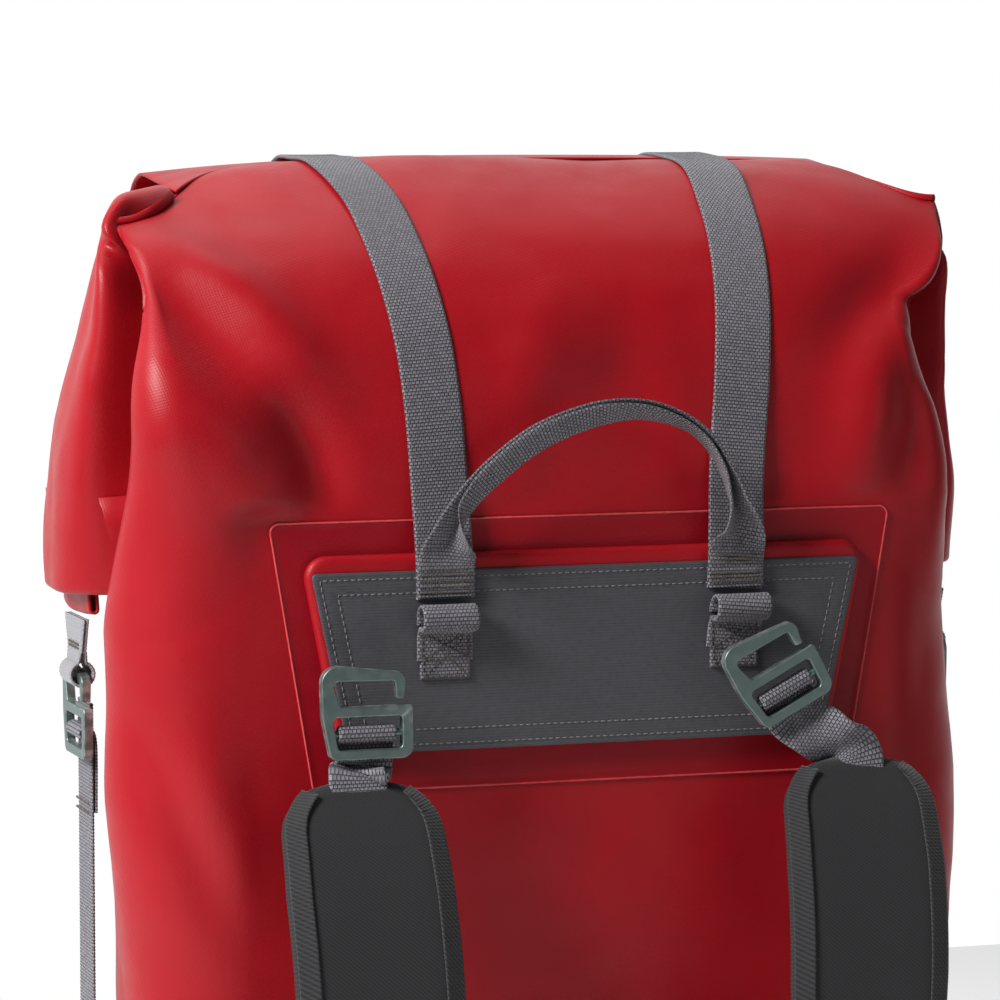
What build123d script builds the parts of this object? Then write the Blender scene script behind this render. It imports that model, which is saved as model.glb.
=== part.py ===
from build123d import *
import os

# Roll-top pannier bag with a shoulder harness, in millimetres.
# +Z is up, +X is right as seen from the harness side, the harness faces -Y, the rack side faces +Y.
# The origin is on the floor under the middle of the whole bag.

# ---------------------------------------------------------------- driving dimensions
BODY_WIDTH = 368.0
BODY_DEPTH = 170.0
BODY_HEIGHT = 540.0
FRONT_Y = -71.0
FABRIC = 1.2            # wall of the coated fabric shell
WEB_WIDTH = 25.0        # every strap is 25 mm webbing
WEB = 1.5               # thickness of one layer of webbing
GAP = 0.3               # clearance between pieces that move past each other
TUBE_RADIUS = 8.0       # rack rail that the bag hangs on

BACK_Y = FRONT_Y + BODY_DEPTH
HALF_WIDTH = BODY_WIDTH / 2
BACK_HALF_WIDTH = 162.0    # the sides lean inwards behind the side straps
TAPER_START_Y = 36.0
CREST_RADIUS = 116.0    # the front rolls back over the top in one big quarter circle
RECESS_Y = FRONT_Y + 148.0
SIDES = {"left": -1, "right": 1}


# ---------------------------------------------------------------- shared helpers
def save(name, shape):
    export_step(shape, f"parts/{name}.step")


def outline(points, radii):
    return make_face(FilletPolyline(*points, radius=radii, close=True))


def block(x0, x1, y0, y1, z0, z1):
    centre = Pos((x0 + x1) / 2, (y0 + y1) / 2, (z0 + z1) / 2)
    return centre * Box(x1 - x0, y1 - y0, z1 - z0)


def prism_x(face, x0, x1):
    """Extrudes a (Y, Z) face from x0 to x1."""
    return Pos(x0, 0, 0) * extrude(Plane.YZ * face, amount=x1 - x0)


def prism_y(face, y0, y1):
    """Extrudes a front-view (X, Z) face from y0 to y1."""
    return Pos(0, y1, 0) * extrude(Plane.XZ * face, amount=y1 - y0)


def bar_x(radius, x0, x1, y, z):
    return Pos((x0 + x1) / 2, y, z) * Rot(0, 90, 0) * Cylinder(radius, x1 - x0)


def bar_y(radius, y0, y1, x, z):
    return Pos(x, (y0 + y1) / 2, z) * Rot(90, 0, 0) * Cylinder(radius, y1 - y0)


def ribbon(points, radii, width, thickness, x=0.0):
    """A flat band that follows a route of (Y, Z) points with rounded corners."""
    path = FilletPolyline(*[(x, y, z) for y, z in points], radius=radii)
    section = Plane(origin=path @ 0, x_dir=(1, 0, 0), z_dir=path % 0) * Rectangle(width, thickness)
    return sweep(section, path=path)


# ---------------------------------------------------------------- the dry bag itself
BASE_CORNER = 30.0
PLAN_FRONT_CORNER = 38.0
PLAN_SIDE_BEND = 60.0
PLAN_BACK_CORNER = 28.0
SILHOUETTE_TOP_CORNER = 17.0
SILHOUETTE_BASE_CORNER = 22.0
RECESS_TOP_CORNER = 16.0
RECESS_LOW_Z = 432.0
RECESS_HIGH_Z = 452.0
RECESS_BEND = 14.0


def bag_form(inset):
    """The bag's closed outer form, or the same form inset by the wall."""
    front = FRONT_Y + inset
    back = BACK_Y - inset
    recess = RECESS_Y - inset
    top = BODY_HEIGHT - inset
    half = HALF_WIDTH - inset
    side_view = outline(
        [(front, inset), (back, inset), (back, RECESS_LOW_Z), (recess, RECESS_HIGH_Z), (recess, top), (front, top)],
        [BASE_CORNER - inset, BASE_CORNER - inset, RECESS_BEND, RECESS_BEND,
         RECESS_TOP_CORNER - inset, CREST_RADIUS - inset])
    front_view = outline(
        [(-half, inset), (half, inset), (half, top), (-half, top)],
        [SILHOUETTE_BASE_CORNER - inset] * 2 + [SILHOUETTE_TOP_CORNER - inset] * 2)
    back_half = BACK_HALF_WIDTH - inset
    plan = outline(
        [(-half, front), (half, front), (half, TAPER_START_Y), (back_half, back), (-back_half, back),
         (-half, TAPER_START_Y)],
        [PLAN_FRONT_CORNER - inset] * 2 + [PLAN_SIDE_BEND] + [PLAN_BACK_CORNER - inset] * 2 + [PLAN_SIDE_BEND])
    form = prism_x(side_view, -half, half) & prism_y(front_view, front, back)
    return form & extrude(plan, amount=BODY_HEIGHT)


# ---------------------------------------------------------------- rolled closure and its side flaps
ROLL_THICKNESS = 30.0
ROLL_TOP_Z = 511.0
ROLL_BASE_Z = 455.0
ROLL_FRONT_Y = RECESS_Y + GAP
ROLL_BACK_Y = ROLL_FRONT_Y + ROLL_THICKNESS
ROLL_HALF_LENGTH = 155.0
BATTEN_HALF_LENGTH = 148.0
BATTEN_THICKNESS = 3.0
BATTEN_HEIGHT = 40.0

FLAP_END_Z = 350.0
FLAP_STEP_Z = 360.0
FLAP_OUTER_X = 206.0
FLAP_BACK_X = 168.0
FLAP_MIDDLE_Y = FRONT_Y + 92.0
FLAP_END_HALF = 28.0
TAB_END_HALF = 20.0
HEM_REVEAL = 5.0


def closure_roll():
    mid_y = (ROLL_FRONT_Y + ROLL_BACK_Y) / 2
    mid_z = (ROLL_BASE_Z + ROLL_TOP_Z) / 2
    corner = ROLL_THICKNESS / 2 - 0.1
    section = outline(
        [(ROLL_FRONT_Y, ROLL_BASE_Z), (ROLL_BACK_Y, ROLL_BASE_Z), (ROLL_BACK_Y, ROLL_TOP_Z), (ROLL_FRONT_Y, ROLL_TOP_Z)],
        [corner] * 4)
    batten = block(-BATTEN_HALF_LENGTH, BATTEN_HALF_LENGTH,
                   mid_y - BATTEN_THICKNESS / 2, mid_y + BATTEN_THICKNESS / 2,
                   mid_z - BATTEN_HEIGHT / 2, mid_z + BATTEN_HEIGHT / 2)
    return prism_x(section, -ROLL_HALF_LENGTH, ROLL_HALF_LENGTH) - batten, batten


def closure_flap():
    """The right-hand end of the roll, folded down the side: an outer layer over a narrower inner one."""
    middle = FLAP_MIDDLE_Y
    side_view = outline(
        [(middle - FLAP_END_HALF, FLAP_STEP_Z), (middle + FLAP_END_HALF, FLAP_STEP_Z),
         (ROLL_BACK_Y, ROLL_BASE_Z), (ROLL_BACK_Y, ROLL_TOP_Z), (FRONT_Y + 78, ROLL_TOP_Z), (FRONT_Y + 34, 462)],
        [6, 6, 14, 14, 30, 40])
    front_view = outline(
        [(ROLL_HALF_LENGTH, FLAP_STEP_Z), (FLAP_OUTER_X, FLAP_STEP_Z), (FLAP_OUTER_X - 4, 480),
         (FLAP_OUTER_X - 16, ROLL_TOP_Z), (ROLL_HALF_LENGTH, ROLL_TOP_Z)],
        [0.5, 6, 30, 6, 0.5])
    plan = make_face(Polyline(
        (ROLL_HALF_LENGTH, FRONT_Y), (FLAP_OUTER_X, FRONT_Y), (FLAP_OUTER_X, FLAP_MIDDLE_Y),
        (FLAP_BACK_X, ROLL_BACK_Y), (ROLL_HALF_LENGTH, ROLL_BACK_Y), close=True))
    outer_layer = prism_x(side_view, ROLL_HALF_LENGTH, FLAP_OUTER_X) & prism_y(front_view, FRONT_Y, ROLL_BACK_Y)
    outer_layer = (outer_layer & extrude(plan, amount=BODY_HEIGHT)) - bag_form(-GAP)
    inner_layer = block(FLAP_OUTER_X - 16, FLAP_OUTER_X - 5, middle - FLAP_END_HALF + HEM_REVEAL,
                        middle + FLAP_END_HALF - HEM_REVEAL, FLAP_END_Z, FLAP_STEP_Z + 5)
    return outer_layer + inner_layer


# ---------------------------------------------------------------- welded patch, padded board and harness panel
PATCH = 0.8
PAD = 5.0
PANEL = 1.0
PATCH_Y = FRONT_Y - PATCH
PAD_Y = PATCH_Y - PAD
PANEL_Y = PAD_Y - PANEL
PANEL_TOP_Z = 372.0
PANEL_BASE_Z = 297.0
PANEL_TOP_HALF = 121.0
PANEL_BASE_HALF = 105.0
PATCH_TOP_Z = 393.0
PATCH_BASE_Z = 280.0
PATCH_TOP_HALF = 138.0
PATCH_BASE_HALF = 119.0
PAD_SIDE_REVEAL = 4.0
PAD_TOP_REVEAL = 7.0


def tapered_sheet(top_half, base_half, top_z, base_z, corner, y0, y1):
    face = outline([(-base_half, base_z), (base_half, base_z), (top_half, top_z), (-top_half, top_z)], [corner] * 4)
    return prism_y(face, y0, y1)


# ---------------------------------------------------------------- straps over the top
STRAP_BASE_X = 64.0
STRAP_TOP_X = 86.0
STRAP_SHAPING_WIDTH = 80.0            # wide band that the leaning strap is cut from
STRAP_LIFT = 1.0                      # centre of the strap above the fabric
STRAP_FRONT_Y = FRONT_Y - STRAP_LIFT
STRAP_PANEL_Y = PANEL_Y - WEB / 2
STRAP_END_Z = 360.0
STRAP_LEAVE_Z = 384.0
STRAP_MEET_Z = 402.0
STRAP_BACK_Y = ROLL_BACK_Y + STRAP_LIFT
STRAP_CREST_Y = FRONT_Y + CREST_RADIUS
STRAP_CREST_Z = BODY_HEIGHT + STRAP_LIFT
REAR_HOOK_Z = 425.0
REAR_HOOK_SETBACK = 3.45
REAR_HOOK_Y = STRAP_BACK_Y + REAR_HOOK_SETBACK
REAR_WRAP = 14.0
REAR_BEND = 45.0


def top_strap(side):
    """Runs from the harness panel over the crest and down behind the roll, spreading outwards as it climbs."""
    front_route = [(STRAP_PANEL_Y, STRAP_END_Z), (STRAP_PANEL_Y, STRAP_LEAVE_Z), (STRAP_FRONT_Y, STRAP_MEET_Z),
                   (STRAP_FRONT_Y, STRAP_CREST_Z), (STRAP_CREST_Y + 0.5, STRAP_CREST_Z)]
    middle_x = (STRAP_BASE_X + STRAP_TOP_X) / 2
    band = ribbon(front_route, [6, 6, CREST_RADIUS + STRAP_LIFT], STRAP_SHAPING_WIDTH, WEB, side * middle_x)
    half = WEB_WIDTH / 2
    centre_line = [(STRAP_BASE_X, STRAP_END_Z - 1), (STRAP_BASE_X + 1, 400), (STRAP_BASE_X + 7, 462),
                   (STRAP_BASE_X + 15, 524), (STRAP_TOP_X, BODY_HEIGHT + 5)]
    inner_edge = [(side * (x - half), z) for x, z in centre_line]
    outer_edge = [(side * (x + half), z) for x, z in reversed(centre_line)]
    front = band & prism_y(make_face(Polyline(*inner_edge, *outer_edge, close=True)), FRONT_Y - 20, BACK_Y)
    rear_route = [(STRAP_CREST_Y + 0.5, STRAP_CREST_Z), (STRAP_BACK_Y, STRAP_CREST_Z), (STRAP_BACK_Y, REAR_STRAP_END_Z)]
    rear = ribbon(rear_route, [REAR_BEND], WEB_WIDTH, WEB, side * STRAP_TOP_X)
    return front + rear


# ---------------------------------------------------------------- G-hook, drawn in its own frame
# Local X runs along the arm, local Z from the webbing bar to the arm, local -Y is the outer face.
HOOK = 4.0
HOOK_ARM_Z = 16.0
HOOK_BAR_Y = 0.8
HOOK_BAR_Z = -9.0
HOOK_BAR_RADIUS = 1.6
WRAP_INNER = HOOK_BAR_RADIUS + GAP
WRAP_OUTER = WRAP_INNER + WEB
STRAND_FRONT_Y = HOOK_BAR_Y + WRAP_INNER
STRAND_BACK_Y = STRAND_FRONT_Y + 2 * WEB
REAR_STRAP_END_Z = REAR_HOOK_Z - HOOK_BAR_Z + REAR_WRAP
EYE_INNER = 4.5
EYE_WIDTH = 20.0


def g_hook():
    silhouette = outline(
        [(-19.8, 20), (16.8, 15.6), (15.2, 3.6), (19.6, 2.2), (19.6, -19.5), (-15.6, -19.5), (-19.2, -2)],
        [7, 4, 0.6, 2.5, 5, 3.5, 20])
    slot = outline(
        [(-15, 12.8), (11.6, 12.3), (12.2, 5.2), (24, 4.6), (24, 2.3), (-11.6, 2.3)],
        [2.2, 1.2, 0.8, 0.4, 0.4, 2])
    window = outline([(-14.8, -2), (14.8, -2), (14.8, -15.4), (-12.4, -15.4)], [2, 2, 2, 2])
    plate = prism_y(silhouette - slot - window, -HOOK / 2, HOOK / 2)
    plate = fillet(plate.edges().filter_by_position(Axis.Y, -HOOK / 2, -HOOK / 2), 0.7)
    return plate + bar_x(HOOK_BAR_RADIUS, -14.6, 15.2, HOOK_BAR_Y, HOOK_BAR_Z)


def hook_wrap(length):
    """Webbing round the hook's bar, with both strands leaving behind the hook."""
    half = WEB_WIDTH / 2
    ring = bar_x(WRAP_OUTER, -half, half, HOOK_BAR_Y, HOOK_BAR_Z)
    strands = block(-half, half, STRAND_FRONT_Y, STRAND_BACK_Y, HOOK_BAR_Z - length, HOOK_BAR_Z)
    return ring + strands - bar_x(WRAP_INNER, -half - 1, half + 1, HOOK_BAR_Y, HOOK_BAR_Z)


def webbing_eye(width, inner, sheet, stem):
    """A loop of webbing round a hook's arm, with a flat stem; the eye's centre is at the local origin."""
    half = width / 2
    eye = bar_x(inner + sheet, -half, half, 0, 0) + block(-half, half, -sheet, sheet, -stem, 0)
    return eye - bar_x(inner, -half - 1, half + 1, 0, 0)


# ---------------------------------------------------------------- harness loops and haul handle
LOOP_Z = 352.5
LOOP_RADIUS = 5.6
LOOP_STEM = 18.0
HANDLE_AXIS_Z = 378.0
HANDLE_LEAN = 12.0
HANDLE_ROUTE = [(-64, 380.5), (-62, 398), (-41, 423), (0, 437), (40, 431), (59, 408), (65, 380.5)]
HANDLE_WIDTH = 9.0
HANDLE_THICKNESS = 5.0
HANDLE_AXIS_Y = STRAP_PANEL_Y - WEB / 2 - HANDLE_THICKNESS / 2 - 0.5


def harness_loop(side):
    """A closed webbing eye that stands out of a slit in the panel, with its sewn tail below."""
    x0 = side * STRAP_BASE_X - WEB_WIDTH / 2
    x1 = x0 + WEB_WIDTH
    centre_y = PANEL_Y - LOOP_RADIUS
    eye = bar_x(LOOP_RADIUS, x0, x1, centre_y, LOOP_Z) - bar_x(LOOP_RADIUS - WEB, x0 - 1, x1 + 1, centre_y, LOOP_Z)
    tail = block(x0 + 2, x1 - 2, PANEL_Y - WEB, PANEL_Y, LOOP_Z - LOOP_STEM, LOOP_Z)
    return eye + (tail - bar_x(LOOP_RADIUS - WEB, x0, x1, centre_y, LOOP_Z))


def haul_handle():
    path = FilletPolyline(*[(x, 0, z - HANDLE_AXIS_Z) for x, z in HANDLE_ROUTE], radius=[30, 22, 30, 30, 22])
    section = Plane(origin=path @ 0, x_dir=(0, 1, 0), z_dir=path % 0) * RectangleRounded(
        HANDLE_THICKNESS, HANDLE_WIDTH, 2)
    grip = sweep(section, path=path)
    return Pos(0, HANDLE_AXIS_Y, HANDLE_AXIS_Z) * Rot(HANDLE_LEAN, 0, 0) * grip


def handle_anchor(side):
    """The handle's flat end, bar-tacked over the strap's end."""
    x0 = side * STRAP_BASE_X - WEB_WIDTH / 2
    return block(x0, x0 + WEB_WIDTH, STRAP_PANEL_Y - WEB * 1.5, STRAP_PANEL_Y - WEB / 2, STRAP_END_Z, HANDLE_AXIS_Z - 2)


# ---------------------------------------------------------------- shoulder straps
SHOULDER_AXIS_Y = -79.0
SHOULDER_AXIS_Z = 33.0
SHOULDER_X = 100.0
PAD_TOP_X = {"left": 108.0, "right": 110.0}
PAD_THICKNESS = 9.0
PAD_SHAPING_WIDTH = 160.0             # wide band that the pad's outline is cut from
PAD_MIDDLE_X = 105.0
PAD_LOW_Z = 62.0
PAD_TOP_Z = 300.0
PAD_ROUTE = [(-100, 70), (-121, 112), (-128, 170), (-120, 235), (-96, 288)]
PAD_BENDS = [60, 80, 80]
SHOULDER_HOOK_Y = -99.0
SHOULDER_HOOK = {"left": (-104.0, 317.5, 0.0), "right": (75.0, 327.0, 28.0)}
WEB_TUCK = 16.0
SHOULDER_WRAP = 12.0
BUCKLE_LEAN = 34.7
BUCKLE_Y = -90.5
BUCKLE_Z = 56.27


def hook_place(x, y, z, tilt):
    """Places hook pieces so that local Z leans anticlockwise by tilt, seen from the harness side."""
    return Pos(x, y, z) * Rot(0, -tilt, 0)


def shoulder_webbing(name):
    x, z, tilt = SHOULDER_HOOK[name]
    wrap = hook_place(x, SHOULDER_HOOK_Y, z, tilt) * hook_wrap(SHOULDER_WRAP)
    start = (hook_place(x, SHOULDER_HOOK_Y, z, tilt) * Pos(0, 0, HOOK_BAR_Z - SHOULDER_WRAP)).position
    end_x = SIDES[name] * PAD_TOP_X[name]
    strand_y = SHOULDER_HOOK_Y + (STRAND_FRONT_Y + STRAND_BACK_Y) / 2
    route = Line((start.X, strand_y, start.Z), (end_x, strand_y, PAD_ROUTE[-1][1] - WEB_TUCK))
    section = Plane(origin=route @ 0, x_dir=(0, 1, 0), z_dir=route % 0) * Rectangle(2 * WEB, WEB_WIDTH)
    return wrap + sweep(section, path=route)


def shoulder_pad(name):
    side = SIDES[name]
    band = ribbon(PAD_ROUTE, PAD_BENDS, PAD_SHAPING_WIDTH, PAD_THICKNESS, side * PAD_MIDDLE_X)
    top_x = PAD_TOP_X[name]
    low_x = SHOULDER_X
    front_view = outline(
        [(side * (low_x - 20), PAD_LOW_Z), (side * (low_x + 20), PAD_LOW_Z), (side * (low_x + 36), 150),
         (side * (top_x + 37), 245), (side * (top_x + 30), PAD_TOP_Z), (side * (top_x - 28), PAD_TOP_Z),
         (side * (top_x - 35), 245), (side * (low_x - 34), 150)],
        [12, 12, 60, 40, 26, 26, 40, 60])
    return (band & prism_y(front_view, -160, -60)) - shoulder_webbing(name) - lower_webbing(side)


def lower_webbing(side):
    route = [(SHOULDER_AXIS_Y, SHOULDER_AXIS_Z + 2.4), (SHOULDER_AXIS_Y - 3, 44), PAD_ROUTE[0], (-108, 86)]
    return ribbon(route, [10, 20], WEB_WIDTH, 2 * WEB, side * SHOULDER_X)


def strap_buckle(side):
    """Ladder buckle on the lower webbing, just under the pad."""
    plate = Box(36, 8, 22)
    frame = fillet(plate.edges().filter_by(Axis.Y), 3) - Box(WEB_WIDTH + 0.6, 2 * WEB + 0.1, 30)
    return Pos(side * SHOULDER_X, BUCKLE_Y, BUCKLE_Z) * Rot(BUCKLE_LEAN, 0, 0) * frame


def lower_anchor(side):
    x0 = side * SHOULDER_X - WEB_WIDTH / 2
    sewn = block(x0, x0 + WEB_WIDTH, FRONT_Y - 2 * WEB, FRONT_Y, 31, 60)
    tongue = block(x0, x0 + WEB_WIDTH, SHOULDER_AXIS_Y - WEB, FRONT_Y - 2 * WEB, 31, 31 + 2 * WEB - 1.2)
    return sewn + tongue


# ---------------------------------------------------------------- side closure straps
SIDE_HOOK_X = 196.0
SIDE_HOOK_Z = 307.0
TAB_SHEET = 1.2
SIDE_STRAP_END_Z = 45.0


def side_place(side):
    """Turns hook pieces so that their outer face looks sideways, away from the bag."""
    return Pos(side * SIDE_HOOK_X, FLAP_MIDDLE_Y, SIDE_HOOK_Z) * Rot(0, 0, side * 90)


def closure_tab(side):
    """Grey tab from the flap's end: it narrows, then loops round the hook's arm."""
    eye_z = SIDE_HOOK_Z + HOOK_ARM_Z
    eye = Pos(0, 0, HOOK_ARM_Z) * Rot(180, 0, 0) * webbing_eye(EYE_WIDTH, EYE_INNER, TAB_SHEET, 12)
    taper = outline(
        [(-EYE_WIDTH / 2, 8), (EYE_WIDTH / 2, 8), (TAB_END_HALF, FLAP_END_Z - eye_z), (-TAB_END_HALF, FLAP_END_Z - eye_z)],
        [0.5, 0.5, 0.5, 0.5])
    sheet = Pos(0, 0, HOOK_ARM_Z) * prism_y(taper, -TAB_SHEET, TAB_SHEET)
    return side_place(side) * (eye + sheet)


def side_strap(side):
    return side_place(side) * hook_wrap(SIDE_HOOK_Z + HOOK_BAR_Z - SIDE_STRAP_END_Z)


def side_anchor(side):
    """Webbing tab sewn low on the bag's side, standing out under the strap's end."""
    strand_outer = SIDE_HOOK_X - STRAND_FRONT_Y
    strand_inner = SIDE_HOOK_X - STRAND_BACK_Y
    profile = make_face(Polyline(
        (HALF_WIDTH, 30), (HALF_WIDTH, 80), (HALF_WIDTH + WEB, 80), (HALF_WIDTH + 2 * WEB, SIDE_STRAP_END_Z - 8),
        (strand_inner, SIDE_STRAP_END_Z - 0.6), (strand_outer, SIDE_STRAP_END_Z - 0.6), (strand_outer, 38),
        (HALF_WIDTH + 2 * WEB, 30), close=True))
    tab = prism_y(profile, FLAP_MIDDLE_Y - WEB_WIDTH / 2, FLAP_MIDDLE_Y + WEB_WIDTH / 2)
    return tab if side > 0 else mirror(tab, about=Plane.YZ)


# ---------------------------------------------------------------- rear hooks that hold the top straps
def rear_place(side):
    """Hook turned upside down with its outer face to the rear."""
    return Pos(side * STRAP_TOP_X, REAR_HOOK_Y, REAR_HOOK_Z) * Rot(0, 0, 180) * Rot(0, 180, 0)


def rear_wrap(side):
    """End of the top strap: it wraps the hook's bar and joins the strap above."""
    return rear_place(side) * hook_wrap(REAR_WRAP)


def top_anchor(side):
    arm_y = REAR_HOOK_Y
    arm_z = REAR_HOOK_Z - HOOK_ARM_Z
    eye = Pos(side * STRAP_TOP_X, arm_y, arm_z) * webbing_eye(EYE_WIDTH, EYE_INNER, WEB, 8)
    x0 = side * STRAP_TOP_X - EYE_WIDTH / 2
    profile = make_face(Polyline(
        (BACK_Y, 380), (BACK_Y, 404), (BACK_Y + WEB, 404), (arm_y - WEB, arm_z - 6), (arm_y + WEB, arm_z - 6),
        (arm_y + WEB, arm_z - 9), (BACK_Y + 2 * WEB, 386), (BACK_Y + 2 * WEB, 380), close=True))
    return eye + prism_x(profile, x0, x0 + EYE_WIDTH)


# ---------------------------------------------------------------- rack fittings
RAIL_Z = 360.0
RAIL_HALF_LENGTH = 150.0
RAIL_FOOT = 4.0
RAIL_FLANGE = 5.0
RAIL_FOOT_HALF = 7.0
RAIL_FLANGE_HALF = 14.0
RAIL_BACK_Y = BACK_Y + RAIL_FOOT + RAIL_FLANGE
RACK_HOOK_X = 95.0
RACK_HOOK_HALF = 13.0
RACK_WALL = 4.0
BORE_RADIUS = TUBE_RADIUS + 0.1
TUBE_Y = RAIL_BACK_Y + GAP + RACK_WALL + BORE_RADIUS
TUBE_Z = 372.0
LEVER_HALF = 5.0
LEVER_Y = RAIL_BACK_Y + GAP + 6.0
LEVER_Z = 346.0
LEVER_PIN = 2.0
SCREW_RADIUS = 2.5
SCREW_HEAD = 4.5
BOARD = 2.4
BOARD_HALF_WIDTH = 128.0
BOARD_BACK_Y = BACK_Y - FABRIC
RAIL_SCREW_X = [-120.0, -40.0, 40.0, 120.0]
LOWER_RAIL_Z = 130.0
LOWER_RAIL_HALF = 60.0
LOWER_SCREW_X = [-50.0, 50.0]
STUD_RADIUS = 4.0


def rack_rail():
    foot = block(-RAIL_HALF_LENGTH, RAIL_HALF_LENGTH, BACK_Y, BACK_Y + RAIL_FOOT,
                 RAIL_Z - RAIL_FOOT_HALF, RAIL_Z + RAIL_FOOT_HALF)
    flange = block(-RAIL_HALF_LENGTH, RAIL_HALF_LENGTH, BACK_Y + RAIL_FOOT, RAIL_BACK_Y,
                   RAIL_Z - RAIL_FLANGE_HALF, RAIL_Z + RAIL_FLANGE_HALF)
    return foot + flange


def rack_hook(side):
    """Carriage that slides on the rail, with a hook that opens downwards over the rack's tube."""
    x0 = side * RACK_HOOK_X - RACK_HOOK_HALF
    x1 = x0 + 2 * RACK_HOOK_HALF
    plate_y = RAIL_BACK_Y + GAP
    low = RAIL_Z - RAIL_FLANGE_HALF - GAP
    high = RAIL_Z + RAIL_FLANGE_HALF + GAP
    claw_y = BACK_Y + RAIL_FOOT - GAP
    lip = 2.6
    body = block(x0, x1, plate_y, plate_y + RACK_WALL, low - 12, high + 4)
    body += block(x0, x1, claw_y - lip, plate_y, high, high + 4)
    body += block(x0, x1, claw_y - lip, claw_y, high - 5, high)
    body += block(x0, x1, claw_y - lip, plate_y, low - 4, low)
    body += block(x0, x1, claw_y - lip, claw_y, low, low + 5)
    collar = bar_x(BORE_RADIUS + RACK_WALL, x0, x1, TUBE_Y, TUBE_Z)
    collar += block(x0, x1, TUBE_Y + BORE_RADIUS, TUBE_Y + BORE_RADIUS + RACK_WALL, TUBE_Z - 9, TUBE_Z)
    body += collar - block(x0 - 1, x1 + 1, TUBE_Y - BORE_RADIUS, TUBE_Y + BORE_RADIUS, TUBE_Z - 20, TUBE_Z)
    body -= bar_x(BORE_RADIUS, x0 - 1, x1 + 1, TUBE_Y, TUBE_Z)
    notch_x = side * RACK_HOOK_X
    body -= block(notch_x - LEVER_HALF - GAP, notch_x + LEVER_HALF + GAP, plate_y - 1, plate_y + RACK_WALL + 1,
                  low - 13, LEVER_Z + 8)
    cheeks = [block(x - 2, x + 2, plate_y, LEVER_Y + 4, LEVER_Z - 6, LEVER_Z + 5)
              for x in (notch_x - LEVER_HALF - GAP - 2, notch_x + LEVER_HALF + GAP + 2)]
    for cheek in cheeks:
        body += cheek
    return body + bar_x(LEVER_PIN, notch_x - LEVER_HALF - 2, notch_x + LEVER_HALF + 2, LEVER_Y, LEVER_Z)


def rack_lever(side):
    """Sprung latch that closes the hook's mouth from below."""
    x0 = side * RACK_HOOK_X - LEVER_HALF
    x1 = x0 + 2 * LEVER_HALF
    arm = outline(
        [(LEVER_Y - 3.6, LEVER_Z - 4), (LEVER_Y + 4, LEVER_Z - 5), (TUBE_Y + 7, TUBE_Z - 20), (TUBE_Y + 7, TUBE_Z - 15),
         (TUBE_Y, TUBE_Z - 11), (LEVER_Y - 3.6, LEVER_Z + 5)],
        [2, 3, 1.5, 1.5, 3, 2])
    return prism_x(arm, x0, x1) - bar_x(LEVER_PIN + GAP, x0 - 1, x1 + 1, LEVER_Y, LEVER_Z)


def lower_rail():
    foot = block(-LOWER_RAIL_HALF, LOWER_RAIL_HALF, BACK_Y, BACK_Y + 3, LOWER_RAIL_Z - 5, LOWER_RAIL_Z + 5)
    flange = block(-LOWER_RAIL_HALF, LOWER_RAIL_HALF, BACK_Y + 3, BACK_Y + 6, LOWER_RAIL_Z - 9, LOWER_RAIL_Z + 9)
    return foot + flange


def lower_slider():
    face_y = BACK_Y + 6 + GAP
    edge = 9 + GAP
    slider = block(-14, 14, face_y, face_y + 3, LOWER_RAIL_Z - edge - 3, LOWER_RAIL_Z + edge + 3)
    for sign in (-1, 1):
        low = min(sign * edge, sign * (edge + 3))
        lip = min(sign * edge, sign * (edge - 3))
        slider += block(-14, 14, BACK_Y + 0.4, face_y, LOWER_RAIL_Z + low, LOWER_RAIL_Z + low + 3)
        slider += block(-14, 14, BACK_Y + 0.4, BACK_Y + 3 - GAP, LOWER_RAIL_Z + lip, LOWER_RAIL_Z + lip + 3)
    stud = bar_y(STUD_RADIUS, face_y + 3, face_y + 10, 0, LOWER_RAIL_Z)
    head = bar_y(STUD_RADIUS + 3, face_y + 10, face_y + 11.6, 0, LOWER_RAIL_Z)
    return slider + stud + head


def lower_hook():
    """Anti-sway hook that swivels on the slider's stud and catches the rack's stay."""
    y0 = BACK_Y + 9 + 2 * GAP
    body = outline([(-9, 121), (9, 121), (9, 172), (-20, 172), (-20, 150), (-14, 150), (-14, 164), (-9, 164)],
                   [8, 8, 8, 8, 2, 2, 1, 1])
    plate = prism_y(body, y0, y0 + 6)
    return plate - bar_y(STUD_RADIUS + GAP, y0 - 1, y0 + 8, 0, LOWER_RAIL_Z)


def screws(xs, z, head_y):
    """Screws with their inside nuts, as one group of separate solids."""
    group = []
    for x in xs:
        shank = bar_y(SCREW_RADIUS, BOARD_BACK_Y - BOARD - 4, head_y, x, z)
        head = bar_y(SCREW_HEAD, head_y - 2.2, head_y, x, z)
        nut = bar_y(SCREW_HEAD, BOARD_BACK_Y - BOARD - 4, BOARD_BACK_Y - BOARD, x, z)
        group.append(shank + head + nut)
    return group


def drilled(shape, screw_groups):
    for group in screw_groups:
        for screw in group:
            shape -= screw
    return shape


# ---------------------------------------------------------------- build and save every piece
os.makedirs("parts", exist_ok=True)

rail_screws = screws(RAIL_SCREW_X, RAIL_Z, RAIL_BACK_Y)
lower_screws = screws(LOWER_SCREW_X, LOWER_RAIL_Z, BACK_Y + 6)
all_screws = [rail_screws, lower_screws]

shell = bag_form(0) - bag_form(FABRIC)
save("bag_shell", drilled(shell, all_screws))
board = block(-BOARD_HALF_WIDTH, BOARD_HALF_WIDTH, BOARD_BACK_Y - BOARD, BOARD_BACK_Y, 40, 415)
save("stiffener_board", drilled(board, all_screws))

roll, batten = closure_roll()
save("roll_closure", roll)
save("closure_batten", batten)
flap = closure_flap()
save("closure_flap_right", flap)
save("closure_flap_left", mirror(flap, about=Plane.YZ))

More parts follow.
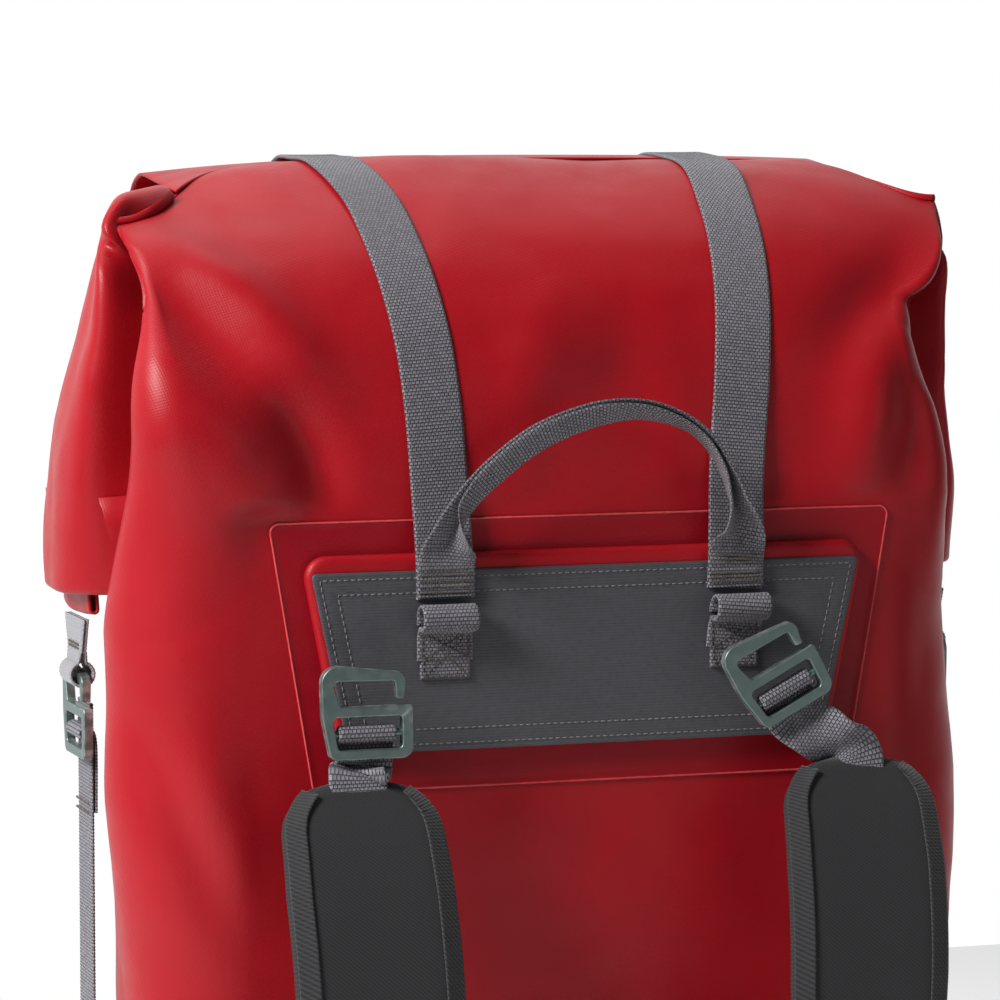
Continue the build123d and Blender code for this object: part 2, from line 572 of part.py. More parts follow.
save("harness_patch", tapered_sheet(PATCH_TOP_HALF, PATCH_BASE_HALF, PATCH_TOP_Z, PATCH_BASE_Z, 4, PATCH_Y, FRONT_Y))
save("harness_pad", tapered_sheet(
    PANEL_TOP_HALF + PAD_SIDE_REVEAL, PANEL_BASE_HALF + PAD_SIDE_REVEAL, PANEL_TOP_Z + PAD_TOP_REVEAL,
    PANEL_BASE_Z, 8, PAD_Y, PATCH_Y))
save("harness_panel", tapered_sheet(PANEL_TOP_HALF, PANEL_BASE_HALF, PANEL_TOP_Z, PANEL_BASE_Z, 1, PANEL_Y, PAD_Y))
save("haul_handle", haul_handle())

for name, side in SIDES.items():
    hook_x, hook_z, hook_tilt = SHOULDER_HOOK[name]
    save(f"top_strap_{name}", top_strap(side))
    save(f"top_hook_{name}", rear_place(side) * g_hook())
    save(f"top_hook_wrap_{name}", rear_wrap(side))
    save(f"top_anchor_{name}", top_anchor(side))
    save(f"harness_loop_{name}", harness_loop(side))
    save(f"handle_anchor_{name}", handle_anchor(side))
    save(f"shoulder_hook_{name}", hook_place(hook_x, SHOULDER_HOOK_Y, hook_z, hook_tilt) * g_hook())
    save(f"shoulder_webbing_{name}", shoulder_webbing(name))
    save(f"shoulder_pad_{name}", shoulder_pad(name))
    save(f"lower_webbing_{name}", lower_webbing(side))
    save(f"strap_buckle_{name}", strap_buckle(side))
    save(f"lower_anchor_{name}", lower_anchor(side))
    save(f"closure_tab_{name}", closure_tab(side))
    save(f"side_hook_{name}", side_place(side) * g_hook())
    save(f"side_strap_{name}", side_strap(side))
    save(f"side_anchor_{name}", side_anchor(side))
    save(f"rack_hook_{name}", rack_hook(side))
    save(f"rack_lever_{name}", rack_lever(side))

save("rack_rail", drilled(rack_rail(), all_screws))
save("rack_rail_screws", Compound(children=rail_screws))
save("lower_rail", drilled(lower_rail(), all_screws))
save("lower_rail_screws", Compound(children=lower_screws))
save("lower_slider", lower_slider())
save("lower_hook", lower_hook())
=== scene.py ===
"""Roll-top pannier bag: the looks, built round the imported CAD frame.

Lengths are millimetres until a mesh is made.
"""
import math

import bmesh
import bpy
import numpy as np
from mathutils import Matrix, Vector, noise
from mathutils.bvhtree import BVHTree


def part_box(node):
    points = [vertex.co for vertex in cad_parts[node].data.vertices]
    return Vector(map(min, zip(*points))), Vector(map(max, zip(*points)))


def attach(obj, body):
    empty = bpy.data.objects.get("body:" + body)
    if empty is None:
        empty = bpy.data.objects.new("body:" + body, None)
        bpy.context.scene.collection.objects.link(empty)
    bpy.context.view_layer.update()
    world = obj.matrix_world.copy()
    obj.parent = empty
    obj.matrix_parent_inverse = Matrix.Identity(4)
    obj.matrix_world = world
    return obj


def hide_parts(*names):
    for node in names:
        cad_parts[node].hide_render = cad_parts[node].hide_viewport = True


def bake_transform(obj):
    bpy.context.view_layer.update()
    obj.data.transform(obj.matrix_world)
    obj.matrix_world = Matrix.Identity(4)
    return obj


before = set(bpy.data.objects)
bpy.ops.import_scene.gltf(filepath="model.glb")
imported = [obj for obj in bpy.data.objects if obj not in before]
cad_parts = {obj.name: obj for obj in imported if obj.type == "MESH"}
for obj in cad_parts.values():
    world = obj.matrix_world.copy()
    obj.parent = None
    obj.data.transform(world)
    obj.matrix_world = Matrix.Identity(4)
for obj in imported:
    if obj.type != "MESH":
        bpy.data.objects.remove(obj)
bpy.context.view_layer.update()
MM = 0.001
SIDES = {"left": -1, "right": 1}
BODY = "bag"


def node_box(node):
    low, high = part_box(node)
    return np.array(low) / MM, np.array(high) / MM


# ---------------------------------------------------------------- sizes read from the frame
SHELL_LOW, SHELL_HIGH = node_box("bag_shell")
HALF = SHELL_HIGH[0]
FRONT_Y = SHELL_LOW[1]
BACK_Y = SHELL_HIGH[1]
TOP_Z = SHELL_HIGH[2]
CREST_RADIUS = 116.0
ARC_Z = TOP_Z - CREST_RADIUS
CREST_Y = FRONT_Y + CREST_RADIUS
BASE_RADIUS = 30.0
PANEL_LOW = node_box("harness_panel")[0]
PATCH_LOW = node_box("harness_patch")[0]
PAD_LOW = node_box("harness_pad")[0]
ROLL_LOW, ROLL_HIGH = node_box("roll_closure")
WEB_WIDTH = 25.0
WEB = 1.5
STRAP_BASE_X = 64.0
STRAP_TOP_X = 86.0


# ---------------------------------------------------------------- mesh helpers
def mesh_object(name, points, faces, material, uvs=None):
    mesh = bpy.data.meshes.new(name)
    mesh.from_pydata([tuple(p) for p in np.asarray(points) * MM], [], faces)
    mesh.polygons.foreach_set("use_smooth", [True] * len(mesh.polygons))
    if uvs is not None:
        layer = mesh.uv_layers.new(name="UVMap")
        loops = np.empty(len(mesh.loops), dtype=np.int32)
        mesh.loops.foreach_get("vertex_index", loops)
        layer.data.foreach_set("uv", (np.asarray(uvs) * MM)[loops].ravel())
    mesh.update()
    obj = bpy.data.objects.new(name, mesh)
    bpy.context.scene.collection.objects.link(obj)
    mesh.materials.append(material)
    return obj


def grid_faces(rows, cols, wrap_cols=False, wrap_rows=False):
    faces = []
    for i in range(rows if wrap_rows else rows - 1):
        for j in range(cols if wrap_cols else cols - 1):
            a = i * cols + j
            b = i * cols + (j + 1) % cols
            c = ((i + 1) % rows) * cols + (j + 1) % cols
            d = ((i + 1) % rows) * cols + j
            faces.append((a, b, c, d))
    return faces


def tube_faces(rows, count):
    """Faces of a tube of rows rings with count points each, closed by a cap at both ends."""
    last = (rows - 1) * count
    caps = [tuple(range(count)), tuple(last + j for j in range(count - 1, -1, -1))]
    return grid_faces(rows, count, wrap_cols=True) + caps


def face_outwards(obj):
    tidy = bmesh.new()
    tidy.from_mesh(obj.data)
    bmesh.ops.recalc_face_normals(tidy, faces=tidy.faces)
    tidy.to_mesh(obj.data)
    tidy.free()
    return obj


def belongs(obj, body, slot, *nodes):
    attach(obj, body)
    if nodes:
        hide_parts(*nodes)
    return obj


def smooth_path(points, step=1.5):
    """Dense points along a Catmull-Rom curve through the given points, about one step apart."""
    pts = np.asarray(points, dtype=float)
    ends = np.vstack([2 * pts[0] - pts[1], pts, 2 * pts[-1] - pts[-2]])
    dense = []
    for k in range(1, len(ends) - 2):
        p0, p1, p2, p3 = ends[k - 1:k + 3]
        n = max(2, int(np.linalg.norm(p2 - p1) / step))
        for t in np.arange(n) / n:
            dense.append(0.5 * (2 * p1 + (p2 - p0) * t + (2 * p0 - 5 * p1 + 4 * p2 - p3) * t ** 2
                                + (3 * p1 - p0 - 3 * p2 + p3) * t ** 3))
    dense.append(pts[-1])
    return even_steps(np.array(dense), step)


def distances_along(points):
    """Each point's distance from the first one, measured along the line."""
    gaps = np.linalg.norm(np.diff(points, axis=0), axis=1)
    return np.concatenate([[0], np.cumsum(gaps)])


def even_count(points, count, extra=None):
    """A line resampled to count even stations. The columns of extra go along with their points."""
    along = distances_along(points)
    stations = np.linspace(0, along[-1], count)
    table = points if extra is None else np.column_stack([points, extra])
    return np.stack([np.interp(stations, along, column) for column in table.T], axis=1)


def even_steps(points, step, extra=None):
    count = max(3, int(round(distances_along(points)[-1] / step)) + 1)
    return even_count(points, count, extra)


def path_length(points):
    return float(np.sum(np.linalg.norm(np.diff(points, axis=0), axis=1)))


def unit(v):
    return v / np.maximum(np.linalg.norm(v, axis=-1, keepdims=True), 1e-9)


def rounded(points, radii, step=6.0):
    """A closed 2D outline whose corners are arcs; step is the arc's resolution in degrees."""
    pts = [np.array(p, dtype=float) for p in points]
    out = []
    for k, (corner, radius) in enumerate(zip(pts, radii)):
        to_before = unit(pts[k - 1] - corner)
        to_after = unit(pts[(k + 1) % len(pts)] - corner)
        angle = math.acos(float(np.clip(to_before @ to_after, -1, 1)))
        reach = radius / math.tan(angle / 2)
        centre = corner + unit(to_before + to_after) * radius / math.sin(angle / 2)
        start = corner + to_before * reach - centre
        end = corner + to_after * reach - centre
        a0 = math.atan2(start[1], start[0])
        turn = (math.atan2(end[1], end[0]) - a0 + math.pi) % (2 * math.pi) - math.pi
        n = max(2, int(abs(math.degrees(turn)) / step) + 1)
        for a in np.linspace(a0, a0 + turn, n):
            out.append(centre + radius * np.array([math.cos(a), math.sin(a)]))
    return np.array(out)


def bump_curve(value, centre, width):
    return np.exp(-((value - centre) / width) ** 2)


def smoothstep(value, low, high):
    t = np.clip((value - low) / (high - low), 0, 1)
    return t * t * (3 - 2 * t)


# ---------------------------------------------------------------- materials
def set_inputs(node, values):
    for key, value in values.items():
        node.inputs[key].default_value = value
    return node


def new_material(name, color, roughness, metallic=0.0, specular=0.5, sheen=0.0, coat=0.0):
    material = bpy.data.materials.new(name)
    material.use_nodes = True
    shader = material.node_tree.nodes["Principled BSDF"]
    set_inputs(shader, {"Base Color": (*color, 1), "Roughness": roughness, "Metallic": metallic,
                        "Specular IOR Level": specular, "Sheen Weight": sheen, "Coat Weight": coat,
                        "Coat Roughness": 0.35})
    return material, material.node_tree, shader


def add(tree, kind, **settings):
    node = tree.nodes.new(kind)
    for key, value in settings.items():
        setattr(node, key, value)
    return node


def coordinates(tree, source="Object", scale=(1, 1, 1), rotation=(0, 0, 0)):
    texture = add(tree, "ShaderNodeTexCoord")
    mapping = set_inputs(add(tree, "ShaderNodeMapping"), {"Scale": scale, "Rotation": rotation})
    tree.links.new(texture.outputs[source], mapping.inputs["Vector"])
    return mapping.outputs["Vector"]


def noise_value(tree, vector, scale, detail=3.0):
    node = set_inputs(add(tree, "ShaderNodeTexNoise"), {"Scale": scale, "Detail": detail, "Roughness": 0.55})
    tree.links.new(vector, node.inputs["Vector"])
    return node.outputs["Fac"]


def math_node(tree, operation, a, b):
    node = add(tree, "ShaderNodeMath", operation=operation)
    for slot_index, value in enumerate((a, b)):
        if isinstance(value, (int, float)):
            node.inputs[slot_index].default_value = value
        else:
            tree.links.new(value, node.inputs[slot_index])
    return node.outputs[0]


def ramp(tree, value, stops):
    node = add(tree, "ShaderNodeValToRGB")
    elements = node.color_ramp.elements
    while len(elements) < len(stops):
        elements.new(0.5)
    for element, (position, color) in zip(elements, stops):
        element.position = position
        element.color = (*color, 1) if len(color) == 3 else color
    tree.links.new(value, node.inputs["Fac"])
    return node.outputs["Color"]


def bump(tree, height, strength, distance, base=None):
    node = set_inputs(add(tree, "ShaderNodeBump"), {"Strength": strength, "Distance": distance})
    tree.links.new(height, node.inputs["Height"])
    if base is not None:
        tree.links.new(base, node.inputs["Normal"])
    return node.outputs["Normal"]


def wave(tree, vector, pitch, direction, distortion=0.0):
    node = add(tree, "ShaderNodeTexWave", wave_type="BANDS", bands_direction=direction, wave_profile="SIN")
    set_inputs(node, {"Scale": math.pi / 10 / pitch, "Distortion": distortion})
    tree.links.new(vector, node.inputs["Vector"])
    return node.outputs["Fac"]


WEAVE_PITCH = 0.0011


def coated_fabric(name, color, shade, roughness):
    """Coated base cloth: a fine weave shows through a smooth, semi-matte skin."""
    material, tree, shader = new_material(name, color, roughness, specular=0.24, coat=0.03)
    place = coordinates(tree)
    blotch = noise_value(tree, place, 9.0, 2.0)
    tree.links.new(ramp(tree, blotch, [(0.3, shade), (0.7, color)]), shader.inputs["Base Color"])
    scuff = noise_value(tree, place, 60.0, 4.0)
    stops = [(0.3, (roughness - 0.05,) * 3), (0.75, (roughness + 0.07,) * 3)]
    tree.links.new(ramp(tree, scuff, stops), shader.inputs["Roughness"])
    turn = (0, math.radians(18), 0)
    one_way, other_way = [wave(tree, coordinates(tree, rotation=turn), WEAVE_PITCH, axis) for axis in "XZ"]
    weave = math_node(tree, "MULTIPLY", one_way, other_way)
    normal = bump(tree, weave, 0.16, 0.00025)
    normal = bump(tree, noise_value(tree, place, 34.0, 3.0), 0.10, 0.003, normal)
    tree.links.new(normal, shader.inputs["Normal"])
    return material


def ribbed_fabric(name, color, shade, pitch=0.0013):
    material, tree, shader = new_material(name, color, 0.55, specular=0.4)
    place = coordinates(tree)
    ribs = wave(tree, place, pitch, "Z", distortion=0.6)
    grain = noise_value(tree, place, 420.0, 2.0)
    mixed = math_node(tree, "MULTIPLY_ADD", ribs, 0.5)
    tree.links.new(grain, mixed.node.inputs[2])
    tree.links.new(ramp(tree, mixed, [(0.25, shade), (0.9, color)]), shader.inputs["Base Color"])
    tree.links.new(bump(tree, mixed, 0.35, 0.0003), shader.inputs["Normal"])
    return material


def woven_webbing(name, light, dark):
    """Ribs of short floats, offset like bricks, with painted shade in the gaps between them. Works in the
    strip's own millimetres.
    """
    material, tree, shader = new_material(name, light, 0.62, specular=0.4, sheen=0.15)
    place = coordinates(tree, "UV", (1000, 1000, 1000))
    bricks = add(tree, "ShaderNodeTexBrick", offset=0.5, offset_frequency=2, squash=1.0)
    between = tuple(0.7 * a + 0.3 * b for a, b in zip(light, dark))
    # The mortar colour is painted shade in the gaps between the ribs.
    set_inputs(bricks, {"Scale": 1.0, "Mortar Size": 0.32, "Mortar Smooth": 1.0, "Bias": 0.0,
                        "Brick Width": 1.7, "Row Height": 1.44, "Color1": (*light, 1),
                        "Color2": (*between, 1), "Mortar": (*dark, 1)})
    tree.links.new(place, bricks.inputs["Vector"])
    fleck = noise_value(tree, coordinates(tree), 900.0, 2.0)
    mix = set_inputs(add(tree, "ShaderNodeMixRGB", blend_type="MULTIPLY"), {"Fac": 0.4})
    tree.links.new(bricks.outputs["Color"], mix.inputs["Color1"])
    tree.links.new(ramp(tree, fleck, [(0.3, (0.6,) * 3), (0.7, (1.25,) * 3)]), mix.inputs["Color2"])
    tree.links.new(mix.outputs["Color"], shader.inputs["Base Color"])
    height = math_node(tree, "SUBTRACT", 1.0, bricks.outputs["Fac"])
    tree.links.new(bump(tree, height, 0.9, 0.0006), shader.inputs["Normal"])
    return material


def anodised_metal(name, color, worn_and_highlight_color):
    material, tree, shader = new_material(name, color, 0.42, metallic=0.75, specular=0.5)
    place = coordinates(tree)
    # Lighter on sharp edges, in patches: partly worn anodising, partly a painted edge highlight.
    geometry = add(tree, "ShaderNodeNewGeometry")
    edge = ramp(tree, geometry.outputs["Pointiness"], [(0.50, (0, 0, 0)), (0.58, (1, 1, 1))])
    patchy = noise_value(tree, place, 260.0, 4.0)
    wear_and_highlight = ramp(tree, patchy, [(0.42, (0.0,) * 3), (0.62, (0.75,) * 3)])
    amount = math_node(tree, "MULTIPLY", edge, wear_and_highlight)
    mix = set_inputs(add(tree, "ShaderNodeMixRGB"), {"Color1": (*color, 1), "Color2": (*worn_and_highlight_color, 1)})
    tree.links.new(amount, mix.inputs["Fac"])
    tree.links.new(mix.outputs["Color"], shader.inputs["Base Color"])
    tree.links.new(ramp(tree, patchy, [(0.3, (0.36,) * 3), (0.7, (0.5,) * 3)]), shader.inputs["Roughness"])
    tree.links.new(bump(tree, noise_value(tree, place, 2200.0, 2.0), 0.10, 0.0001), shader.inputs["Normal"])
    return material


def moulded_plastic(name, color):
    material, tree, shader = new_material(name, color, 0.5, specular=0.45)
    place = coordinates(tree)
    grain = noise_value(tree, place, 900.0, 3.0)
    lighter = tuple(min(1.0, 1.6 * c + 0.01) for c in color)
    shade = ramp(tree, noise_value(tree, place, 40.0), [(0.35, color), (0.75, lighter)])
    tree.links.new(shade, shader.inputs["Base Color"])
    tree.links.new(bump(tree, grain, 0.25, 0.0002), shader.inputs["Normal"])
    return material


def spacer_mesh(name, color, dark):
    """Black knitted mesh with small round holes, in object space."""
    material, tree, shader = new_material(name, color, 0.8, specular=0.25, sheen=0.3)
    place = coordinates(tree)
    cells = set_inputs(add(tree, "ShaderNodeTexVoronoi", feature="F1"), {"Scale": 420.0, "Randomness": 0.35})
    tree.links.new(place, cells.inputs["Vector"])
    shade = ramp(tree, cells.outputs["Distance"], [(0.25, dark), (0.55, color)])
    tree.links.new(shade, shader.inputs["Base Color"])
    tree.links.new(bump(tree, cells.outputs["Distance"], 0.5, 0.0006), shader.inputs["Normal"])
    return material


def fine_twill(name, color, shade, pitch, roughness=0.75):
    material, tree, shader = new_material(name, color, roughness, specular=0.3, sheen=0.2)
    one_way = wave(tree, coordinates(tree), pitch, "DIAGONAL", distortion=0.3)
    tree.links.new(ramp(tree, one_way, [(0.2, shade), (0.8, color)]), shader.inputs["Base Color"])
    tree.links.new(bump(tree, one_way, 0.4, 0.0002), shader.inputs["Normal"])
    return material


def brushed_steel(name):
    material, tree, shader = new_material(name, (0.55, 0.55, 0.57), 0.3, metallic=1.0)
    streaks = noise_value(tree, coordinates(tree, scale=(20, 300, 20)), 8.0, 4.0)
    tree.links.new(ramp(tree, streaks, [(0.3, (0.25,) * 3), (0.7, (0.42,) * 3)]), shader.inputs["Roughness"])
    return material


RED = coated_fabric("red_coated_fabric", (0.335, 0.004, 0.010), (0.290, 0.003, 0.007), 0.44)
RED_PATCH = coated_fabric("red_patch_fabric", (0.275, 0.002, 0.009), (0.24, 0.002, 0.006), 0.40)
# The weld bead is real; its lighter, pinker red is a painted highlight along the patch edge.
WELD_WITH_PAINTED_HIGHLIGHT = coated_fabric("weld_line_painted_highlight", (0.62, 0.09, 0.09), (0.50, 0.03, 0.04), 0.30)
PANEL = ribbed_fabric("grey_panel_fabric", (0.062, 0.062, 0.070), (0.040, 0.040, 0.046))
# The dark colour is painted shade in the gaps between the webbing's ribs.
WEBBING = woven_webbing("grey_webbing", (0.215, 0.205, 0.232), (0.022, 0.020, 0.025))
TAB = fine_twill("grey_tab_fabric", (0.26, 0.26, 0.28), (0.21, 0.21, 0.225), 0.0007, 0.6)
# The second colour goes on sharp edges: worn anodising and a painted edge highlight.
METAL = anodised_metal("hook_metal", (0.135, 0.185, 0.175), (0.42, 0.46, 0.45))
BUCKLE_METAL = anodised_metal("buckle_metal", (0.135, 0.185, 0.175), (0.155, 0.205, 0.195))
THREAD = fine_twill("light_thread", (0.20, 0.19, 0.19), (0.13, 0.12, 0.12), 0.0005)
TACK_THREAD = fine_twill("tack_thread", (0.105, 0.088, 0.060), (0.05, 0.042, 0.03), 0.0005)
FOAM_FACE = fine_twill("strap_face_cloth", (0.018, 0.018, 0.020), (0.009, 0.009, 0.010), 0.0010)
FOAM_MESH = spacer_mesh("strap_mesh", (0.022, 0.022, 0.024), (0.004, 0.004, 0.004))
BINDING = fine_twill("strap_binding", (0.030, 0.030, 0.032), (0.012, 0.012, 0.013), 0.0013)
PLASTIC = moulded_plastic("black_plastic", (0.016, 0.016, 0.018))
STEEL = brushed_steel("screw_steel")


# ---------------------------------------------------------------- bag body
SIDE_BULGE = 9.0
HALF_POINTS = 190
RINGS_UP = 250
BACK_HALF = 159.0
RECESS_Y = 77.0
CLOSED_DEPTH = 0.01        # least depth of a ring, so that the crest's ring doesn't divide by zero


def crest_back(x):
    """How far behind the front face the crest lies at x: its ends are pulled forward by the closure flaps."""
    return CREST_RADIUS - 56.0 * smoothstep(np.abs(x), 112.0, 182.0) ** 1.1


def front_line(f, x):
    """(y, z) on the front sheet, f from 0 at the base's curve to 1 at the crest."""
    last_angle = np.arccos(1 - crest_back(x) / CREST_RADIUS)
    straight = ARC_Z - BASE_RADIUS
    length = straight + CREST_RADIUS * last_angle
    along = f * length
    angle = np.clip((along - straight) / CREST_RADIUS, 0, None)
    y = FRONT_Y + CREST_RADIUS * (1 - np.cos(angle))
    z = np.minimum(BASE_RADIUS + along, ARC_Z) + CREST_RADIUS * np.sin(angle)
    return y, z


def back_line(f, x):
    """(y, z) on the back sheet at f: up the back, under the roll, then forward over the top to the crest."""
    crest_y, crest_z = front_line(1.0, x)
    knots_y = [BACK_Y, BACK_Y, BACK_Y - 2, RECESS_Y + 1, RECESS_Y, RECESS_Y - 2]
    knots_z = [BASE_RADIUS, 418.0, 432.0, 452.0, 500.0, 520.0]
    steps = np.hypot(np.diff(knots_y), np.diff(knots_z))
    stations = np.concatenate([[0], np.cumsum(steps)]) / (np.sum(steps) + 24.0)
    y = np.interp(f, stations, knots_y)
    z = np.interp(f, stations, knots_z)
    last = smoothstep(f, stations[-2], 1.0)
    return y + (crest_y - y) * last, z + (crest_z - z) * last ** 0.7


def side_outline(width, depth, front_radius, back_radius, pinch):
    """Right half of one ring: x and depth from front to back."""
    front_radius = min(front_radius, 0.42 * depth)
    back_radius = min(back_radius, 0.42 * depth)
    back_half = min(BACK_HALF, width)
    spread = np.linspace(0, 1, 61)[:-1]
    x = list((width - front_radius) * spread)
    d = [0.0] * len(spread)
    for a in np.radians(np.linspace(0, 90, 19))[:-1]:
        x.append(width - front_radius + front_radius * math.sin(a))
        d.append(front_radius - front_radius * math.cos(a))
    run = np.linspace(0, 1, 49)[:-1]
    valley = np.sin(math.pi * run ** 0.62) ** 1.5
    x.extend(width - (width - back_half) * run ** 2.2 - pinch * valley)
    d.extend(front_radius + (depth - front_radius - back_radius) * run)
    for a in np.radians(np.linspace(0, 90, 15))[:-1]:
        x.append(back_half - back_radius + back_radius * math.cos(a))
        d.append(depth - back_radius + back_radius * math.sin(a))
    rest = np.linspace(1, 0, HALF_POINTS - len(x))
    x.extend((back_half - back_radius) * rest)
    d.extend([depth] * len(rest))
    return np.array(x), np.array(d)


def ring_points(f, inset=0.0, drop=None):
    """One closed ring of the body, right side first. drop is the height of a ring in the base's curve."""
    halves = []
    for sign in (1, -1):
        middle_y, middle_z = front_line(f, 0.0)
        rear_y, rear_z = back_line(f, 0.0)
        depth = max(math.hypot(rear_y - middle_y, rear_z - middle_z) - 2 * inset, CLOSED_DEPTH)
        width = np.interp(middle_z, *(FRONT_HALF_RIGHT if sign > 0 else FRONT_HALF_LEFT)) - inset
        radius = np.interp(middle_z, *FRONT_FOLD) - 0.6 * inset
        back_radius = np.interp(middle_z, (0, 400, 500), (34.0, 30.0, 18.0)) - 0.6 * inset
        pinch = np.interp(middle_z, *SIDE_PINCH)
        x, d = side_outline(width, depth, radius, back_radius, pinch)
        share = (d + inset) / (depth + 2 * inset)
        y0, z0 = front_line(f, x)
        y1, z1 = back_line(f, x)
        points = np.stack([sign * x, y0 + (y1 - y0) * share, z0 + (z1 - z0) * share], axis=1)
        if drop is not None:
            points[:, 2] = drop
        halves.append(points)
    right, left = halves
    return np.vstack([right, left[1:-1][::-1]])


# Heights on the front's middle line, and the value there: how far out each side's front corner lies, its fold
# radius and the side's pinch
FRONT_HALF_RIGHT = ((0, 300, 385, 430, 468, 492, 506, 520, 534, 540),
                    (HALF - 2, HALF - 7, HALF - 12, 169, 162, 156, 158, 170, 181, 184))
FRONT_HALF_LEFT = ((0, 200, 300, 380, 450, 500, 524, 536, 540),
                   (HALF - 2, HALF + 2, HALF + 5, HALF + 4, HALF + 2, HALF + 1, 184, 184, 187))
FRONT_FOLD = ((0, 380, 430, 470, 520, 540), (44, 42, 26, 13, 8, 5))
SIDE_PINCH = ((0, 120, 300, 400, 450, 500, 530, 540), (0, 0, 1, 5, 12, 20, 22, 12))


def fold(points, route, width, height):
    """Height of a soft fold along a route of (x, y, z) knots, fading at both ends."""
    knots = smooth_path(route, 3.0)
    fade = np.sin(math.pi * np.linspace(0.04, 0.96, len(knots))) ** 0.7
    best = np.zeros(len(points))
    for knot, strength in zip(knots, fade):
        gap = np.sum((points - knot) ** 2, axis=1)
        best = np.maximum(best, strength * np.exp(-gap / width ** 2))
    return height * best


def cloth_noise(points, scale, seed):
    return np.array([noise.noise(Vector(p) / scale + Vector((seed, 0, 0))) for p in points])


def flat_zone(points):
    """1 where the welded patch holds the front flat, 0 elsewhere."""
    across = 1 - smoothstep(np.abs(points[:, 0]), 138.0, 162.0)
    up = smoothstep(points[:, 2], 262.0, 284.0) * (1 - smoothstep(points[:, 2], 392.0, 404.0))
    return across * up * (points[:, 1] < FRONT_Y + 20)


# Tension folds: (route, width, height). A negative height is a valley.
BODY_FOLDS = [
    ([(-176, -20, 519), (-162, -36, 505), (-140, -54, 483), (-122, -64, 460), (-112, -69, 444)], 14, 6.0),
    ([(-176, -40, 496), (-162, -56, 474), (-150, -64, 456)], 19, -8.0),
    ([(-182, -62, 456), (-162, -70, 432), (-146, -71, 410), (-132, -71, 388)], 21, 9.0),
    ([(-130, -69, 444), (-119, -71, 424), (-111, -71, 402)], 11, -5.0),
    ([(-188, -60, 350), (-178, -68, 320), (-168, -71, 280), (-160, -71, 236)], 22, 5.0),
    ([(-184, -54, 306), (-172, -66, 268), (-160, -70, 230)], 11, -5.0),
    ([(164, -34, 508), (150, -50, 490), (134, -57, 478), (116, -65, 458)], 15, -6.0),
    ([(132, -66, 458), (130, -71, 430), (124, -71, 404)], 17, 6.0),
    ([(152, -62, 458), (150, -71, 430), (146, -71, 404)], 12, -5.0),
    ([(168, -60, 440), (166, -68, 400), (170, -70, 360)], 13, 4.0),
    ([(-16, -60, 478), (-22, -69, 448), (-26, -71, 426)], 15, 2.0),
    ([(20, -60, 478), (22, -69, 448), (26, -71, 420)], 17, -2.5),
]


def crest_drop(x):
    """How far the crest sinks towards its ends, more on the left."""
    return np.where(x < 0, 10.0, 3.0) * (np.abs(x) / HALF) ** 2.2


def body_points():
    rings = []
    for scale in np.linspace(0.03, 0.93, 9):
        ring = ring_points(0.0, BASE_RADIUS, 0.0)
        centre = ring.mean(axis=0)
        rings.append(centre + (ring - centre) * scale)
    for a in np.radians(np.linspace(0, 84, 9)):
        rings.append(ring_points(0.0, BASE_RADIUS * (1 - math.sin(a)), BASE_RADIUS * (1 - math.cos(a))))
    for f in np.linspace(0, 1, RINGS_UP) ** 0.97:
        rings.append(ring_points(f))
    return np.array(rings)


def outward(grid):
    """Unit normals of a closed-ring grid, pointing out."""
    along = np.gradient(grid, axis=0)
    around = (np.roll(grid, -1, axis=1) - np.roll(grid, 1, axis=1)) / 2
    return unit(np.cross(around, along))


def make_body():
    grid = body_points()
    normals = outward(grid)
    flat = grid.reshape(-1, 3)
    free = 1 - flat_zone(flat)
    ends = smoothstep(flat[:, 2], 20.0, 80.0)
    lift = 3.0 * cloth_noise(flat, 95.0, 3.1) + 1.2 * cloth_noise(flat, 42.0, 7.7)
    lift += 0.3 * cloth_noise(flat, 17.0, 1.3)
    for route, width, height in BODY_FOLDS:
        lift += fold(flat, route, width, height)
    bulge = SIDE_BULGE * bump_curve(flat[:, 2], 325, 120) * smoothstep(np.abs(flat[:, 0]), 140, 178)
    bulge *= bump_curve(flat[:, 1], -32.0, 34.0)
    crest_sag = crest_drop(flat[:, 0]) * smoothstep(flat[:, 2], 470.0, 530.0)
    moved = flat + normals.reshape(-1, 3) * ((lift * ends - 0.6) * free + bulge)[:, None]
    moved[:, 2] -= crest_sag
    moved[:, 2] = np.maximum(moved[:, 2], 0.2)
    rows, cols = grid.shape[:2]
    faces = grid_faces(rows, cols, wrap_cols=True)
    faces.append(tuple(range(cols))[::-1])
    body = mesh_object("bag_body", moved, faces, RED)
    face_outwards(body)
    belongs(body, BODY, "red_fabric", "bag_shell", "closure_batten", "stiffener_board")
    return body


body = make_body()


# ---------------------------------------------------------------- rolled closure and its folded ends
def surface_grid(rows, across):
    """Smooth grid through rows of 3D knots. A row lists its knots from the front edge to the back edge."""
    dense_rows = [even_count(smooth_path(row, 3.0), across) for row in rows]
    columns = [smooth_path([row[k] for row in dense_rows], 3.0) for k in range(across)]
    count = max(len(c) for c in columns)
    return np.stack([even_count(c, count) for c in columns], axis=1)


